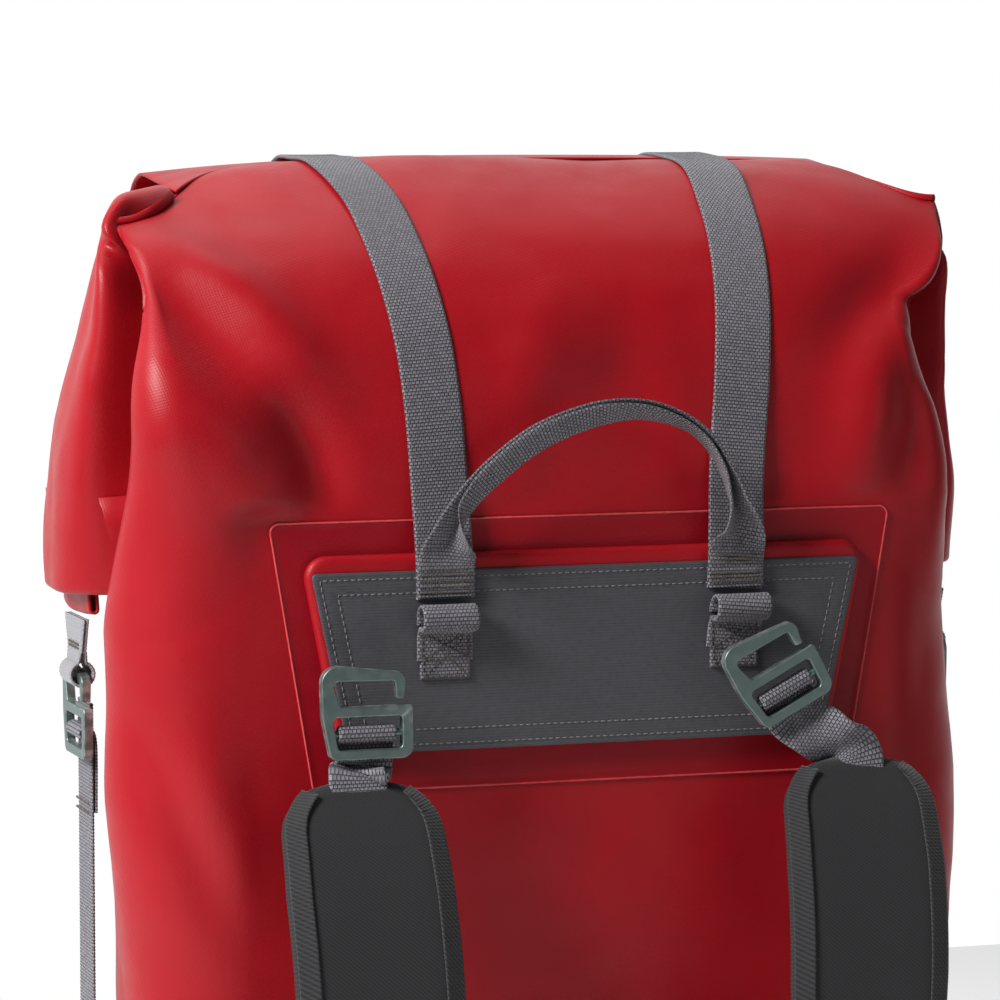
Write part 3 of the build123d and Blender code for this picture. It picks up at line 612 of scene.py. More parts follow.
def thin_sheet(name, grid, thickness, material, away_from):
    """Closed thin sheet from a grid of its outer face; the wall grows away from the outer side."""
    rows, cols = grid.shape[:2]
    normals = unit(np.cross(np.gradient(grid, axis=0), np.gradient(grid, axis=1)))
    if np.mean(np.sum(normals * (grid - np.array(away_from, float)), axis=2)) < 0:
        normals = -normals
    inner = grid - normals * thickness
    points = np.vstack([grid.reshape(-1, 3), inner.reshape(-1, 3)])
    front = grid_faces(rows, cols)
    shift = rows * cols
    faces = front + [tuple(shift + v for v in reversed(face)) for face in front]
    border = list(range(cols)) + [i * cols + cols - 1 for i in range(1, rows)]
    border += [(rows - 1) * cols + j for j in range(cols - 2, -1, -1)]
    border += [i * cols for i in range(rows - 2, 0, -1)]
    for a, b in zip(border, border[1:] + border[:1]):
        faces.append((b, a, a + shift, b + shift))
    return face_outwards(mesh_object(name, points, faces, material))


# Outer layer's knots, x outwards, front edge to back edge, from the crest down to the lip.
# The first two knots of a row turn under: to a free hem near the top, and to the bag's side lower down.
FLAP_ROWS = [
    [(140, 14, 514), (141, 26, 522), (140, 34, 526), (138, 48, 528),
     (134, 64, 527), (128, 86, 521), (122, 100, 503)],
    [(154, 3, 512), (157, 8, 522), (157, 14, 527.5), (155, 30, 529),
     (150, 50, 528), (143, 78, 519), (136, 104, 503)],
    [(165, -8, 510), (170, -4, 520), (172, 0, 526), (170, 14, 527.5),
     (162, 44, 524), (154, 76, 514), (148, 107, 497)],
    [(174, -12, 506), (181, -10, 516), (184, -10, 523), (182, 6, 524),
     (174, 34, 519), (164, 72, 508), (156, 108, 491)],
    [(176, -18, 505), (187, -19, 507), (192, -17, 511), (190, -1, 511),
     (181, 32, 506), (170, 70, 492), (160, 108, 476)],
    [(172, -34, 494), (184, -29, 494), (195, -23, 497), (193, -6, 496),
     (188, 28, 488), (177, 68, 474), (166, 106, 462)],
    [(170, -40, 472), (181, -35, 472), (196, -27, 475), (198, -10, 474),
     (195, 24, 466), (185, 64, 454), (174, 98, 447)],
    [(171, -42, 446), (184, -35, 446), (199, -26, 449), (204, -9, 448),
     (202, 22, 442), (194, 58, 432), (184, 86, 427)],
    [(173, -40, 419), (186, -32, 419), (200, -22, 421), (207, -5, 420),
     (206, 20, 416), (200, 52, 409), (192, 72, 405)],
    [(175, -35, 391), (187, -26, 391), (200, -17, 393), (208, -2, 392),
     (208, 20, 390), (205, 44, 386), (198, 60, 384)],
    [(177, -26, 363), (188, -18, 362), (199, -11, 361.5), (207, 3, 361),
     (208, 20, 361), (206, 37, 361), (200, 50, 361)],
]


TUCK_IN = (15.0, 8.0)
TUCK_BACK = (26.0, 12.0)
FLAP_SHEET = 1.2
ROLL_SHEET = 1.2
INNER_LIP_Z = 350.0


def right_pull(z):
    """Share by which the right-hand flap is drawn in towards the bag at height z."""
    return 0.35 + 0.25 * float(smoothstep(500.0 - z, 0, 60)) - 0.35 * float(smoothstep(440.0 - z, 0, 60))


def on_side(rows, side):
    """The knots on one side. The right-hand flap is closer to the bag, with its front edge further back."""
    placed = []
    for row in rows:
        low = float(smoothstep(508 - row[0][2], 0, 14) * smoothstep(row[0][2], 362, 425))
        close = right_pull(row[0][2]) * (side > 0)
        drop = 5.0 * float(smoothstep(row[0][2], 500, 518)) * (side > 0)
        knots = []
        for k, (x, y, z) in enumerate(row):
            inward, backward = (TUCK_IN[k] * low, TUCK_BACK[k] * low) if k < len(TUCK_IN) else (0.0, 0.0)
            if side > 0:
                inward *= 1.3
                y += 0.3 * max(0.0, 20.0 - y)
            knots.append((side * (x - inward - close * max(0.0, x - 184.0)), y + backward, z - drop))
        placed.append(knots)
    return placed


def rounded_lip(grid, layer):
    """The flap's lower edge is turned under: the sheet runs round the lip and back up inside."""
    last = grid[-1]
    down = unit(last - grid[-3])
    inward = np.zeros_like(last)
    inward[:, 0] = -np.sign(last[:, 0])
    turns = []
    for a in np.radians(np.linspace(20, 180, 9)):
        turns.append(last + down * layer * math.sin(a) + inward * layer * (1 - math.cos(a)))
    up_from = turns[-1]
    for rise in (6.0, 14.0, 26.0, 40.0):
        turns.append(up_from - down * rise)
    return np.concatenate([grid, np.array(turns)], axis=0)


def make_flap(name, side):
    grid = surface_grid(on_side(FLAP_ROWS, side), 56)
    flat = grid.reshape(-1, 3)
    ripple = 0.9 * cloth_noise(flat, 34.0, 5.0 + side) + 0.35 * cloth_noise(flat, 14.0, 9.0 + side)
    crease = fold(flat, [(side * 190, 0, 508), (side * 194, -6, 470), (side * 200, 2, 430)], 10.0, -2.5)
    flat[:, 0] += side * (ripple * smoothstep(536 - flat[:, 2], 0, 30) + crease)
    grid = rounded_lip(flat.reshape(grid.shape), 2.4)
    outer = thin_sheet(name, grid, FLAP_SHEET, RED, (0, 20, 430))
    belongs(outer, BODY, "red_fabric", f"closure_flap_{'right' if side > 0 else 'left'}")


def make_inner_layer(name, side):
    """The narrower second layer that shows under the lip and holds the grey tab."""
    rows = []
    for z, out in ((392.0, 196.0), (372.0, 197.5), (358.0, 198.0), (INNER_LIP_Z + 1.2, 197.6)):
        if side > 0:
            out -= right_pull(z) * (out - 184.0)
        rows.append([(side * (out - 1.0), -3.0, z + 1.0), (side * out, 13.0, z), (side * out, 29.0, z),
                     (side * (out - 1.5), 43.0, z + 1.5)])
    grid = surface_grid(rows, 30)
    flat = grid.reshape(-1, 3)
    flat[:, 0] += side * 0.7 * cloth_noise(flat, 16.0, 2.0)
    grid = rounded_lip(flat.reshape(grid.shape), 2.2)
    inner = thin_sheet(name, grid, FLAP_SHEET, RED, (0, 11, 370))
    belongs(inner, BODY, "red_fabric")


def make_roll():
    """The rolled top behind the crest: a flattened spiral whose outer layer comes over the crest."""
    half = ROLL_HIGH[0]
    centre_y = (ROLL_LOW[1] + ROLL_HIGH[1]) / 2
    centre_z = (ROLL_LOW[2] + ROLL_HIGH[2]) / 2
    reach_z = (ROLL_HIGH[2] - ROLL_LOW[2]) / 2
    reach_y = (ROLL_HIGH[1] - ROLL_LOW[1]) / 2
    turns = 2.4
    samples = 190
    outer = []
    for k in range(samples):
        share = k / (samples - 1)
        a = math.radians(95) - share * turns * 2 * math.pi
        shrink = 1 - 0.62 * share
        flatness = 0.72
        cy = abs(math.cos(a)) ** flatness * math.copysign(1, math.cos(a))
        cz = abs(math.sin(a)) ** flatness * math.copysign(1, math.sin(a))
        outer.append((centre_y + reach_y * shrink * cy, centre_z + reach_z * (1 - 0.42 * share) * cz))
    outer = even_steps(np.array(outer), 2.0)
    over_top = [(44.0, 539.6), (60.0, 540.4), (72.0, 540.0), (84.0, 535.0), (92.0, 524.0), (93.0, 514.0)]
    over_top = smooth_path(over_top, 2.0)
    profile = np.vstack([over_top[:-2], outer])
    xs = np.linspace(-half, half, 150)
    grid = np.stack([np.column_stack([np.full(len(profile), x), profile]) for x in xs], axis=1)
    flat = grid.reshape(-1, 3)
    near_top = smoothstep(flat[:, 2], 500, 540)
    forward = smoothstep(72.0 - flat[:, 1], 0, 26) * (flat[:, 2] > 530)
    crest_y, crest_z = front_line(1.0, flat[:, 0])
    flat[:, 1] += (crest_y - CREST_Y) * forward
    flat[:, 2] += (crest_z - TOP_Z) * forward
    flat[:, 2] -= crest_drop(flat[:, 0]) * near_top
    flat[:, 1] += 1.1 * cloth_noise(flat, 40.0, 4.0)
    flat[:, 2] += 0.9 * cloth_noise(flat, 38.0, 6.0) * (1 - near_top)
    roll = thin_sheet("roll_closure_sheet", flat.reshape(grid.shape), ROLL_SHEET, RED, (0, 60, 400))
    belongs(roll, BODY, "red_fabric", "roll_closure")


make_roll()
for side_name, side_sign in SIDES.items():
    make_flap(f"closure_flap_{side_name}_sheet", side_sign)
    make_inner_layer(f"closure_flap_{side_name}_inner_sheet", side_sign)


# ---------------------------------------------------------------- webbing
RIB_PITCH = 1.44
RIB_STEP = 0.36


def webbing(name, path, across, width=WEB_WIDTH, thickness=WEB, material=None, shift=0.0):
    """A woven strap along a path. across is the width direction, one for all or one for each knot."""
    knots = np.asarray(path, float)
    across = np.broadcast_to(np.asarray(across, float), knots.shape)
    widths = np.broadcast_to(np.asarray(width, float), (len(knots),))
    packed = even_steps(knots, RIB_STEP, np.column_stack([across, widths]))
    centre, across, widths = packed[:, :3], unit(packed[:, 3:6]), packed[:, 6]
    tangent = unit(np.gradient(centre, axis=0))
    across = unit(across - tangent * np.sum(across * tangent, axis=1, keepdims=True))
    normal = np.cross(tangent, across)
    along = np.arange(len(centre)) * RIB_STEP
    rib = 0.5 + 0.5 * np.cos(2 * math.pi * along / RIB_PITCH)
    half = widths / 2 - 0.18 * (1 - rib)
    columns = [-1, -0.985, -0.95, -0.9, -0.6, -0.2, 0.2, 0.6, 0.9, 0.95, 0.985, 1]
    rows, uvs = [], []
    for sign in (1, -1):
        for c in columns[::sign]:
            edge = abs(c)
            lift = thickness / 2 * (1 - 0.85 * smoothstep(edge, 0.955, 1.0))
            lift = lift + 0.10 * bump_curve(edge, 0.9, 0.05)
            lift = lift + (0.20 * rib - 0.10) * (1 - smoothstep(edge, 0.95, 1.0))
            rows.append(centre + across * (c * half)[:, None] + normal * (sign * lift)[:, None])
            uvs.append(np.column_stack([c * half + 40 + 60 * sign, along + shift]))
    grid = np.stack(rows, axis=1)
    faces = tube_faces(len(centre), grid.shape[1])
    points = grid.reshape(-1, 3)
    uv_points = np.stack(uvs, axis=1).reshape(-1, 2)
    return face_outwards(mesh_object(name, points, faces, material or WEBBING, uvs=uv_points))


def arc(centre, radius, start, end, step=6.0):
    """(y, z) points on an arc, angles in degrees from +Y towards +Z."""
    count = max(3, int(abs(end - start) / step))
    return [(centre[0] + radius * math.cos(math.radians(a)), centre[1] + radius * math.sin(math.radians(a)))
            for a in np.linspace(start, end, count)]


# ---------------------------------------------------------------- stitches
STITCH_RISE = 0.1


def stitches(name, routes, outward_dir, pitch=3.0, length=2.0, radius=0.26, material=None):
    """Short thread bars along each route, one mesh. outward_dir is the surface's outward direction."""
    points, faces = [], []
    face_dir = np.array(outward_dir, float)
    for route in routes:
        dense = np.array(even_steps(np.asarray(route, float), 0.25))
        along = distances_along(dense)
        for k in range(int(along[-1] // pitch)):
            start = k * pitch + (pitch - length) / 2
            first, middle, last = [np.array([np.interp(place, along, dense[:, axis]) for axis in range(3)])
                                   for place in (start, start + length / 2, start + length)]
            add_bar(points, faces, first, middle, last, radius, face_dir)
    return face_outwards(mesh_object(name, points, faces, material or THREAD))


def add_bar(points, faces, first, middle, last, radius, face_dir):
    tangent = unit(last - first)
    side = unit(np.cross(tangent, face_dir))
    base = len(points)
    stations = ((first, 0.45, -0.25), (0.55 * first + 0.45 * middle, 1.0, 0.8), (middle, 1.0, 1.0),
                (0.55 * last + 0.45 * middle, 1.0, 0.8), (last, 0.45, -0.25))
    for place, size, lift in stations:
        for a in np.radians(np.arange(0, 360, 60)):
            spoke = side * math.cos(a) + face_dir * math.sin(a)
            points.append(place + face_dir * (STITCH_RISE * lift) + size * radius * spoke)
    for i in range(4):
        for j in range(6):
            a, b = base + i * 6 + j, base + i * 6 + (j + 1) % 6
            faces.append((a, b, b + 6, a + 6))
    faces.append(tuple(base + j for j in range(5, -1, -1)))
    faces.append(tuple(base + 24 + j for j in range(6)))


def loop_route(corners, y):
    return [(x, y, z) for x, z in corners + corners[:1]]


def zigzag(low, high, count, swing):
    """(across, up) pairs of a bar tack that runs from low to high in count strokes."""
    return [(low + (high - low) * k / count, swing if k % 2 else -swing) for k in range(count + 1)]


# ---------------------------------------------------------------- welded patch, padded board, harness panel
PATCH_TOP = (138.0, 393.0)
PATCH_BASE = (119.0, 280.0)
PANEL_TOP = (121.0, 372.0)
PANEL_BASE = (105.0, 297.0)
PAD_TOP = (125.0, 379.0)
PAD_BASE = (109.0, 297.0)
SEAM_INSETS = (2.9, 9.1)
TOWARDS_VIEWER = (0, -1, 0)


def inset_corners(top, base, inset):
    lean = (top[0] - base[0]) / (top[1] - base[1])
    side = inset * math.sqrt(1 + lean * lean)
    top_z, base_z = top[1] - inset, base[1] + inset
    base_half, top_half = [base[0] + lean * (z - base[1]) - side for z in (base_z, top_z)]
    return [(-base_half, base_z), (base_half, base_z), (top_half, top_z), (-top_half, top_z)]


def tapered_board(name, top, base, corner, sections, material):
    """A tapered board of nested outlines. sections lists (inset, y) from the back edge round to the face."""
    rings = []
    for inset, y in sections:
        corners = inset_corners(top, base, inset)
        loop = rounded(corners, [max(0.4, corner - inset)] * 4)
        rings.append(np.column_stack([loop[:, 0], np.full(len(loop), y), loop[:, 1]]))
    grid = [resample_loop(ring, 420) for ring in rings]
    face = grid[-1]
    centre = face.mean(axis=0)
    grid = np.array(grid + [centre + (face - centre) * share for share in np.linspace(0.9, 0.06, 26)])
    rows, cols = grid.shape[:2]
    faces = grid_faces(rows, cols, wrap_cols=True)
    faces.append(tuple((rows - 1) * cols + j for j in range(cols)))
    faces.append(tuple(range(cols - 1, -1, -1)))
    flat = grid.reshape(-1, 3)
    flat[:, 1] += 0.12 * cloth_noise(flat, 38.0, 8.0) * (flat[:, 1] < sections[-1][1] + 0.3)
    return face_outwards(mesh_object(name, flat, faces, material))


def resample_loop(loop, count):
    closed = np.vstack([loop, loop[:1]])
    return even_count(closed, count + 1)[:-1]


def make_harness_board():
    back = FRONT_Y
    sections = [(1.0, back + 0.3), (0.0, back), (0.0, back - 0.45), (0.5, back - 0.8), (1.5, back - 0.75),
                (2.4, back - 0.55), (4.0, back - 0.6)]
    patch = tapered_board("harness_patch_sheet", PATCH_TOP, PATCH_BASE, 4.0, sections, RED_PATCH)
    belongs(patch, BODY, "red_fabric", "harness_patch")
    # The bead is coloured with the painted-highlight red.
    weld = edge_bead("harness_patch_weld", PATCH_TOP, PATCH_BASE, 3.6, 0.6, back - 0.75, 0.26, WELD_WITH_PAINTED_HIGHLIGHT)
    belongs(weld, BODY, "red_fabric")
    pad_back = PATCH_LOW[1]
    sections = [(1.5, pad_back + 0.1), (0.4, pad_back - 0.6), (0.0, pad_back - 2.0), (0.5, pad_back - 3.6),
                (1.9, pad_back - 4.7), (3.6, PAD_LOW[1])]
    pad = tapered_board("harness_pad_cover", PAD_TOP, PAD_BASE, 9.0, sections, RED)
    belongs(pad, BODY, "red_fabric", "harness_pad")
    face_y = PANEL_LOW[1]
    sections = [(0.6, PAD_LOW[1] + 0.2), (0.0, PAD_LOW[1] - 0.1), (0.0, face_y + 0.25), (0.35, face_y),
                (2.0, face_y + 0.02), (2.9, face_y + 0.22), (3.8, face_y + 0.02), (8.2, face_y),
                (9.1, face_y + 0.2), (10.0, face_y)]
    panel = tapered_board("harness_panel_sheet", PANEL_TOP, PANEL_BASE, 1.6, sections, PANEL)
    belongs(panel, BODY, "grey_panel", "harness_panel")
    rows = [loop_route(inset_corners(PANEL_TOP, PANEL_BASE, inset), face_y + 0.05) for inset in SEAM_INSETS]
    seam = stitches("harness_panel_stitches", rows, TOWARDS_VIEWER)
    belongs(seam, BODY, "grey_panel")


def edge_bead(name, top, base, corner, inset, y, radius, material):
    """A thin raised line round a tapered board."""
    loop = rounded(inset_corners(top, base, inset), [corner] * 4)
    ring = resample_loop(np.column_stack([loop[:, 0], np.full(len(loop), y), loop[:, 1]]), 700)
    tangent = unit(np.roll(ring, -1, axis=0) - np.roll(ring, 1, axis=0))
    side = np.cross(tangent, np.array([0, 1.0, 0]))
    uneven = 1 + 0.35 * cloth_noise(ring, 3.0, 2.0)
    grid = []
    for a in np.radians(np.arange(0, 360, 60)):
        spoke = side * math.cos(a) * 1.6 + np.array([0, -1.0, 0]) * math.sin(a)
        grid.append(ring + spoke * (radius * uneven)[:, None])
    grid = np.stack(grid, axis=1)
    faces = grid_faces(len(ring), 6, wrap_cols=True, wrap_rows=True)
    return face_outwards(mesh_object(name, grid.reshape(-1, 3), faces, material))


make_harness_board()


# ---------------------------------------------------------------- straps over the top
STRAP_LINE = {"left": ((359.0, 400.0, 462.0, 524.0, 545.0), (64.0, 64.0, 68.0, 75.0, 82.0)),
              "right": ((359.0, 400.0, 462.0, 524.0, 545.0), (64.0, 66.5, 73.0, 82.5, 90.0))}
STRAP_PANEL_Y = PANEL_LOW[1] - 0.85


def surface_tree(*objects):
    vertices, faces = [], []
    for obj in objects:
        base = len(vertices)
        vertices.extend(v.co.copy() for v in obj.data.vertices)
        faces.extend(tuple(base + i for i in p.vertices) for p in obj.data.polygons)
    return BVHTree.FromPolygons(vertices, faces)


def laid_on(tree, points, directions, lift, reach=18.0):
    """Moves each point along its direction so that it lies lift above the surface below it."""
    moved = []
    for point, direction in zip(points, directions):
        origin = Vector((point + direction * reach) * MM)
        hit = tree.ray_cast(origin, Vector(-direction), 2 * reach * MM)[0]
        moved.append(point if hit is None else np.array(hit) / MM + direction * lift)
    return np.array(moved)


def soften(values, passes):
    smooth = values.copy()
    for _ in range(passes):
        smooth[1:-1] = (smooth[:-2] + 2 * smooth[1:-1] + smooth[2:]) / 4
    return smooth


def make_top_strap(name, side, tree):
    low = [(STRAP_PANEL_Y, z) for z in (360.0, 368.0, 376.0, 382.0)]
    low += [(-76.6, 388.0), (-73.6, 394.0), (-72.1, 400.0)]
    crest = arc((CREST_Y, ARC_Z), CREST_RADIUS + 1.0, 180, 90, 2.0)
    crest += [(CREST_Y + 8.0, TOP_Z + 1.0), (CREST_Y + 14.0, TOP_Z + 1.0)]
    rear_bend = arc((63.5, 496.0), 45.0, 88, 0, 4.0)
    rear = [(108.5, z) for z in (488.0, 476.0, 462.0, 448.0)]
    profile = np.array(low + crest + rear_bend + rear)
    x = np.interp(profile[:, 1], *STRAP_LINE["right" if side > 0 else "left"])
    over = slice(len(low), len(low) + len(crest))
    settled = smoothstep(500 - profile[over.stop:, 1], -45.0, 20.0)
    x[over.stop:] = x[over.stop - 1] + (STRAP_TOP_X - x[over.stop - 1]) * settled
    path = np.column_stack([side * x, profile])
    tangent = unit(np.gradient(path, axis=0))
    outward_dir = unit(np.cross(np.array([1.0, 0, 0]), tangent))
    away = outward_dir[:, 1:2] * (path[:, 1:2] - 30) + outward_dir[:, 2:3] * (path[:, 2:3] - 400)
    outward_dir = np.where(away < 0, -outward_dir, outward_dir)
    fitted = path.copy()
    fitted[over] = laid_on(tree, path[over], outward_dir[over], 0.95)
    fitted = soften(fitted, 5)
    across = np.cross(outward_dir, tangent)
    route = smooth_path(np.vstack([fitted[:-1:2], fitted[-1:]]), 1.0)
    strap = webbing(f"{name}_webbing", route, mean_rows(across[::2], route))
    belongs(strap, BODY, "webbing", name)


def mean_rows(rows, path):
    """Stretches a list of directions over a longer path."""
    stations = np.linspace(0, 1, len(rows))
    wanted = np.linspace(0, 1, len(path))
    return unit(np.stack([np.interp(wanted, stations, rows[:, k]) for k in range(3)], axis=1))


body_tree = surface_tree(body, bpy.data.objects["roll_closure_sheet"])
for side_name, side_sign in SIDES.items():
    make_top_strap(f"top_strap_{side_name}", side_sign, body_tree)


# ---------------------------------------------------------------- webbing round hook bars
HOOK_ARM_Z = 16.0
HOOK_BAR_Z = -9.0
HOOK_BAR_Y = 0.8
WRAP_RADIUS = 2.7


class HookFrame:
    """A hook's own axes: X along its arm, Z from the bar to the arm, -Y its outer face."""

    def __init__(self, origin, x_axis, z_axis):
        self.origin = np.array(origin, float)
        self.x = np.array(x_axis, float)
        self.z = np.array(z_axis, float)
        self.y = np.cross(self.z, self.x)

    def at(self, x, y, z):
        return self.origin + self.x * x + self.y * y + self.z * z

    def path(self, yz):
        return np.array([self.at(0, y, z) for y, z in yz])


def bar_wrap(length_front, length_back):
    """(y, z) route: up the rear strand, over the bar, down its outer face and back behind it."""
    front_y = HOOK_BAR_Y + WRAP_RADIUS
    rear_y = front_y + 1.55
    route = [(rear_y, HOOK_BAR_Z - length_back), (rear_y, HOOK_BAR_Z - 4)]
    route += arc((HOOK_BAR_Y, HOOK_BAR_Z), WRAP_RADIUS, 55, 335, 12)
    return route + [(front_y, HOOK_BAR_Z - 4), (front_y, HOOK_BAR_Z - length_front)]


# ---------------------------------------------------------------- harness loops
def boxed_cross(name, x, half, base, top, y):
    """Stitching in a box with a cross in it."""
    box = loop_route([(x - half, base), (x + half, base), (x + half, top), (x - half, top)], y)
    cross = [[(x - half, y, base), (x + half, y, top)], [(x + half, y, base), (x - half, y, top)]]
    belongs(stitches(name, [box] + cross, TOWARDS_VIEWER, 2.6, 1.9, 0.3, TACK_THREAD), BODY, "webbing")


def make_loop(name, side, slant):
    """A closed loop of webbing that stands out of the panel, with its sewn tail and cross stitches below."""
    x = side * STRAP_BASE_X
    face = PANEL_LOW[1]
    route = [(face - 0.8, 334.5), (face - 0.9, 340.0), (face - 1.1, 345.0)]
    route += arc((face - 5.8, 352.6), 5.0, -60, -350, 12)
    route += [(face - 0.8, 349.5)]
    knots = np.array([(x + slant * (z - 340.0), y, z) for y, z in route])
    dense = smooth_path(knots, 0.6)
    wide = webbing(f"{name}_webbing", dense, (1, 0, 0), 24.4, 1.45)
    belongs(wide, BODY, "webbing", name)
    boxed_cross(f"{name}_cross_stitch", x, 10.2, 335.5, 346.5, face - 1.75)
    patch = webbing(f"{name}_tail", [(x, face - 0.75, 349.0), (x, face - 0.75, 327.0)], (1, 0, 0), 22.0, 1.3)
    belongs(patch, BODY, "webbing")
    boxed_cross(f"{name}_box_stitch", x, 9.6, 328.2, 345.0, face - 1.55)


make_loop("harness_loop_left", -1, 0.0)
make_loop("harness_loop_right", 1, 0.10)


# ---------------------------------------------------------------- haul handle
HANDLE_AXIS_Z = 378.0
HANDLE_LEAN = math.radians(12.0)
# (x, height, fold half-angle, twist) along the handle in its own leaning plane
HANDLE_KNOTS = [
    (-64.0, 361.0, 0, 0), (-64.0, 370.0, 0, 0), (-63.8, 377.0, 6, 0), (-62.5, 386.0, 48, 20),
    (-58.0, 399.0, 80, 62), (-47.0, 412.0, 86, 78), (-27.0, 427.5, 86, 82), (-2.0, 437.0, 86, 66),
    (20.0, 438.0, 86, 42), (41.0, 430.0, 86, 18), (54.0, 415.5, 84, 4), (61.5, 399.0, 72, 0),
    (65.0, 387.0, 46, 0), (64.5, 378.0, 8, 0), (64.0, 370.0, 0, 0), (64.0, 361.0, 0, 0),
]
TACK_HEIGHTS = {"left": (363.0, 365.4, 367.8, 370.2, 372.6),
                "right": (363.4, 365.2, 367.0, 371.0, 372.8, 374.6)}


def handle_point(x, height):
    """A place on the handle's middle: flat on the panel below the hinge, leaning outwards above it."""
    above = max(0.0, height - HANDLE_AXIS_Z)
    base_y = STRAP_PANEL_Y - 1.6
    lean = smoothstep(height, HANDLE_AXIS_Z - 3, HANDLE_AXIS_Z + 16)
    y = base_y - above * math.sin(HANDLE_LEAN) * lean - 1.6 * lean
    return np.array([x, y, min(height, HANDLE_AXIS_Z) + above * math.cos(HANDLE_LEAN)])


def make_handle():
    knots = np.array(HANDLE_KNOTS, float)
    centre = np.array([handle_point(x, h) for x, h, _, _ in knots])
    curve = smooth_path(centre, RIB_STEP)
    along_knots = distances_along(centre)
    wanted = np.linspace(0, along_knots[-1], len(curve))
    fold_angle, twist = [soften(np.radians(np.interp(wanted, along_knots, knots[:, k])), 40) for k in (2, 3)]
    tangent = unit(np.gradient(curve, axis=0))
    facing = np.array([0, -1.0, -0.2])
    outward_dir = unit(facing - tangent * (tangent @ facing)[:, None])
    in_plane = np.cross(tangent, outward_dir)
    lateral = in_plane * np.cos(twist)[:, None] + outward_dir * np.sin(twist)[:, None]
    deep = outward_dir * np.cos(twist)[:, None] - in_plane * np.sin(twist)[:, None]
    along = np.arange(len(curve)) * RIB_STEP
    rib = 0.5 + 0.5 * np.cos(2 * math.pi * along / RIB_PITCH)
    half_width = WEB_WIDTH / 2
    right = (0.1, 0.22, 0.45, 0.7, 0.9, 0.97, 1)
    spread = np.array([-share for share in right[::-1]] + [0, *right]) * half_width
    rows, uvs = [], []
    middle_line = []
    for s in spread:
        reach = np.sqrt(s * s + 2.2) - math.sqrt(2.2)
        sideways = np.sign(s) * np.maximum(abs(s) * np.cos(fold_angle), min(abs(s), 1.25) * np.sin(fold_angle))
        forward = reach * np.sin(fold_angle) - 0.35 * half_width * np.sin(fold_angle)
        middle_line.append(curve + lateral * sideways[:, None] + deep * forward[:, None])
    middle = np.stack(middle_line, axis=1)
    slope = np.gradient(middle, axis=1)
    face = unit(np.cross(slope, tangent[:, None, :]))
    for sign in (1, -1):
        order = range(len(spread)) if sign > 0 else range(len(spread) - 1, -1, -1)
        for k in order:
            edge = abs(spread[k]) / half_width
            lift = 0.72 * (1 - 0.8 * smoothstep(edge, 0.94, 1.0)) + (0.11 * rib - 0.05)
            rows.append(middle[:, k] + face[:, k] * (sign * lift)[:, None])
            uvs.append(np.column_stack([np.full(len(along), spread[k] + 40 + 60 * sign), along]))
    grid = np.stack(rows, axis=1)
    faces = tube_faces(len(curve), grid.shape[1])
    uv_points = np.stack(uvs, axis=1).reshape(-1, 2)
    handle = mesh_object("haul_handle_webbing", grid.reshape(-1, 3), faces, WEBBING, uvs=uv_points)
    face_outwards(handle)
    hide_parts("haul_handle", "handle_anchor_left", "handle_anchor_right")
    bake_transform(handle)
    thread_y = STRAP_PANEL_Y - 2.45
    for side_name, side in SIDES.items():
        x0, x1 = side * STRAP_BASE_X - 11.8, side * STRAP_BASE_X + 11.8
        rows = [[(x, thread_y, z + up) for x, up in zigzag(x0, x1, 40, 0.45)] for z in TACK_HEIGHTS[side_name]]
        tack = stitches(f"haul_handle_tack_{side_name}", rows, TOWARDS_VIEWER, 1.05, 1.0, 0.3, TACK_THREAD)
        belongs(tack, BODY, "webbing")


make_handle()


# ---------------------------------------------------------------- shoulder straps
SHOULDER_HOOK_Y = -99.0
SHOULDER_X = 100.0
SHOULDER_PLACES = {"left": (-104.0, 317.5, 0.0, -108.0), "right": (75.0, 327.0, 28.0, 110.0)}
PAD_SIDE_LINE = [(-100, 70), (-112, 92), (-121, 118), (-127, 150), (-127.5, 180), (-124.5, 214), (-118.0, 242),
                 (-108, 268), (-96, 288)]
PAD_THICK = 9.0
PAD_TOP_ROUND = 24
PAD_LOW_ROUND = 10


def pad_half_width(height, side_of_middle):
    """Half-width of the shoulder pad, on its inner (-1) or outer (1) side."""
    heights = (66, 90, 150, 200, 245, 275, 292)
    inner = (19, 25, 33, 34.5, 34.5, 33.5, 30)
    outer = (19, 26, 35, 37, 37, 35, 31)
    return np.interp(height, heights, outer if side_of_middle > 0 else inner)


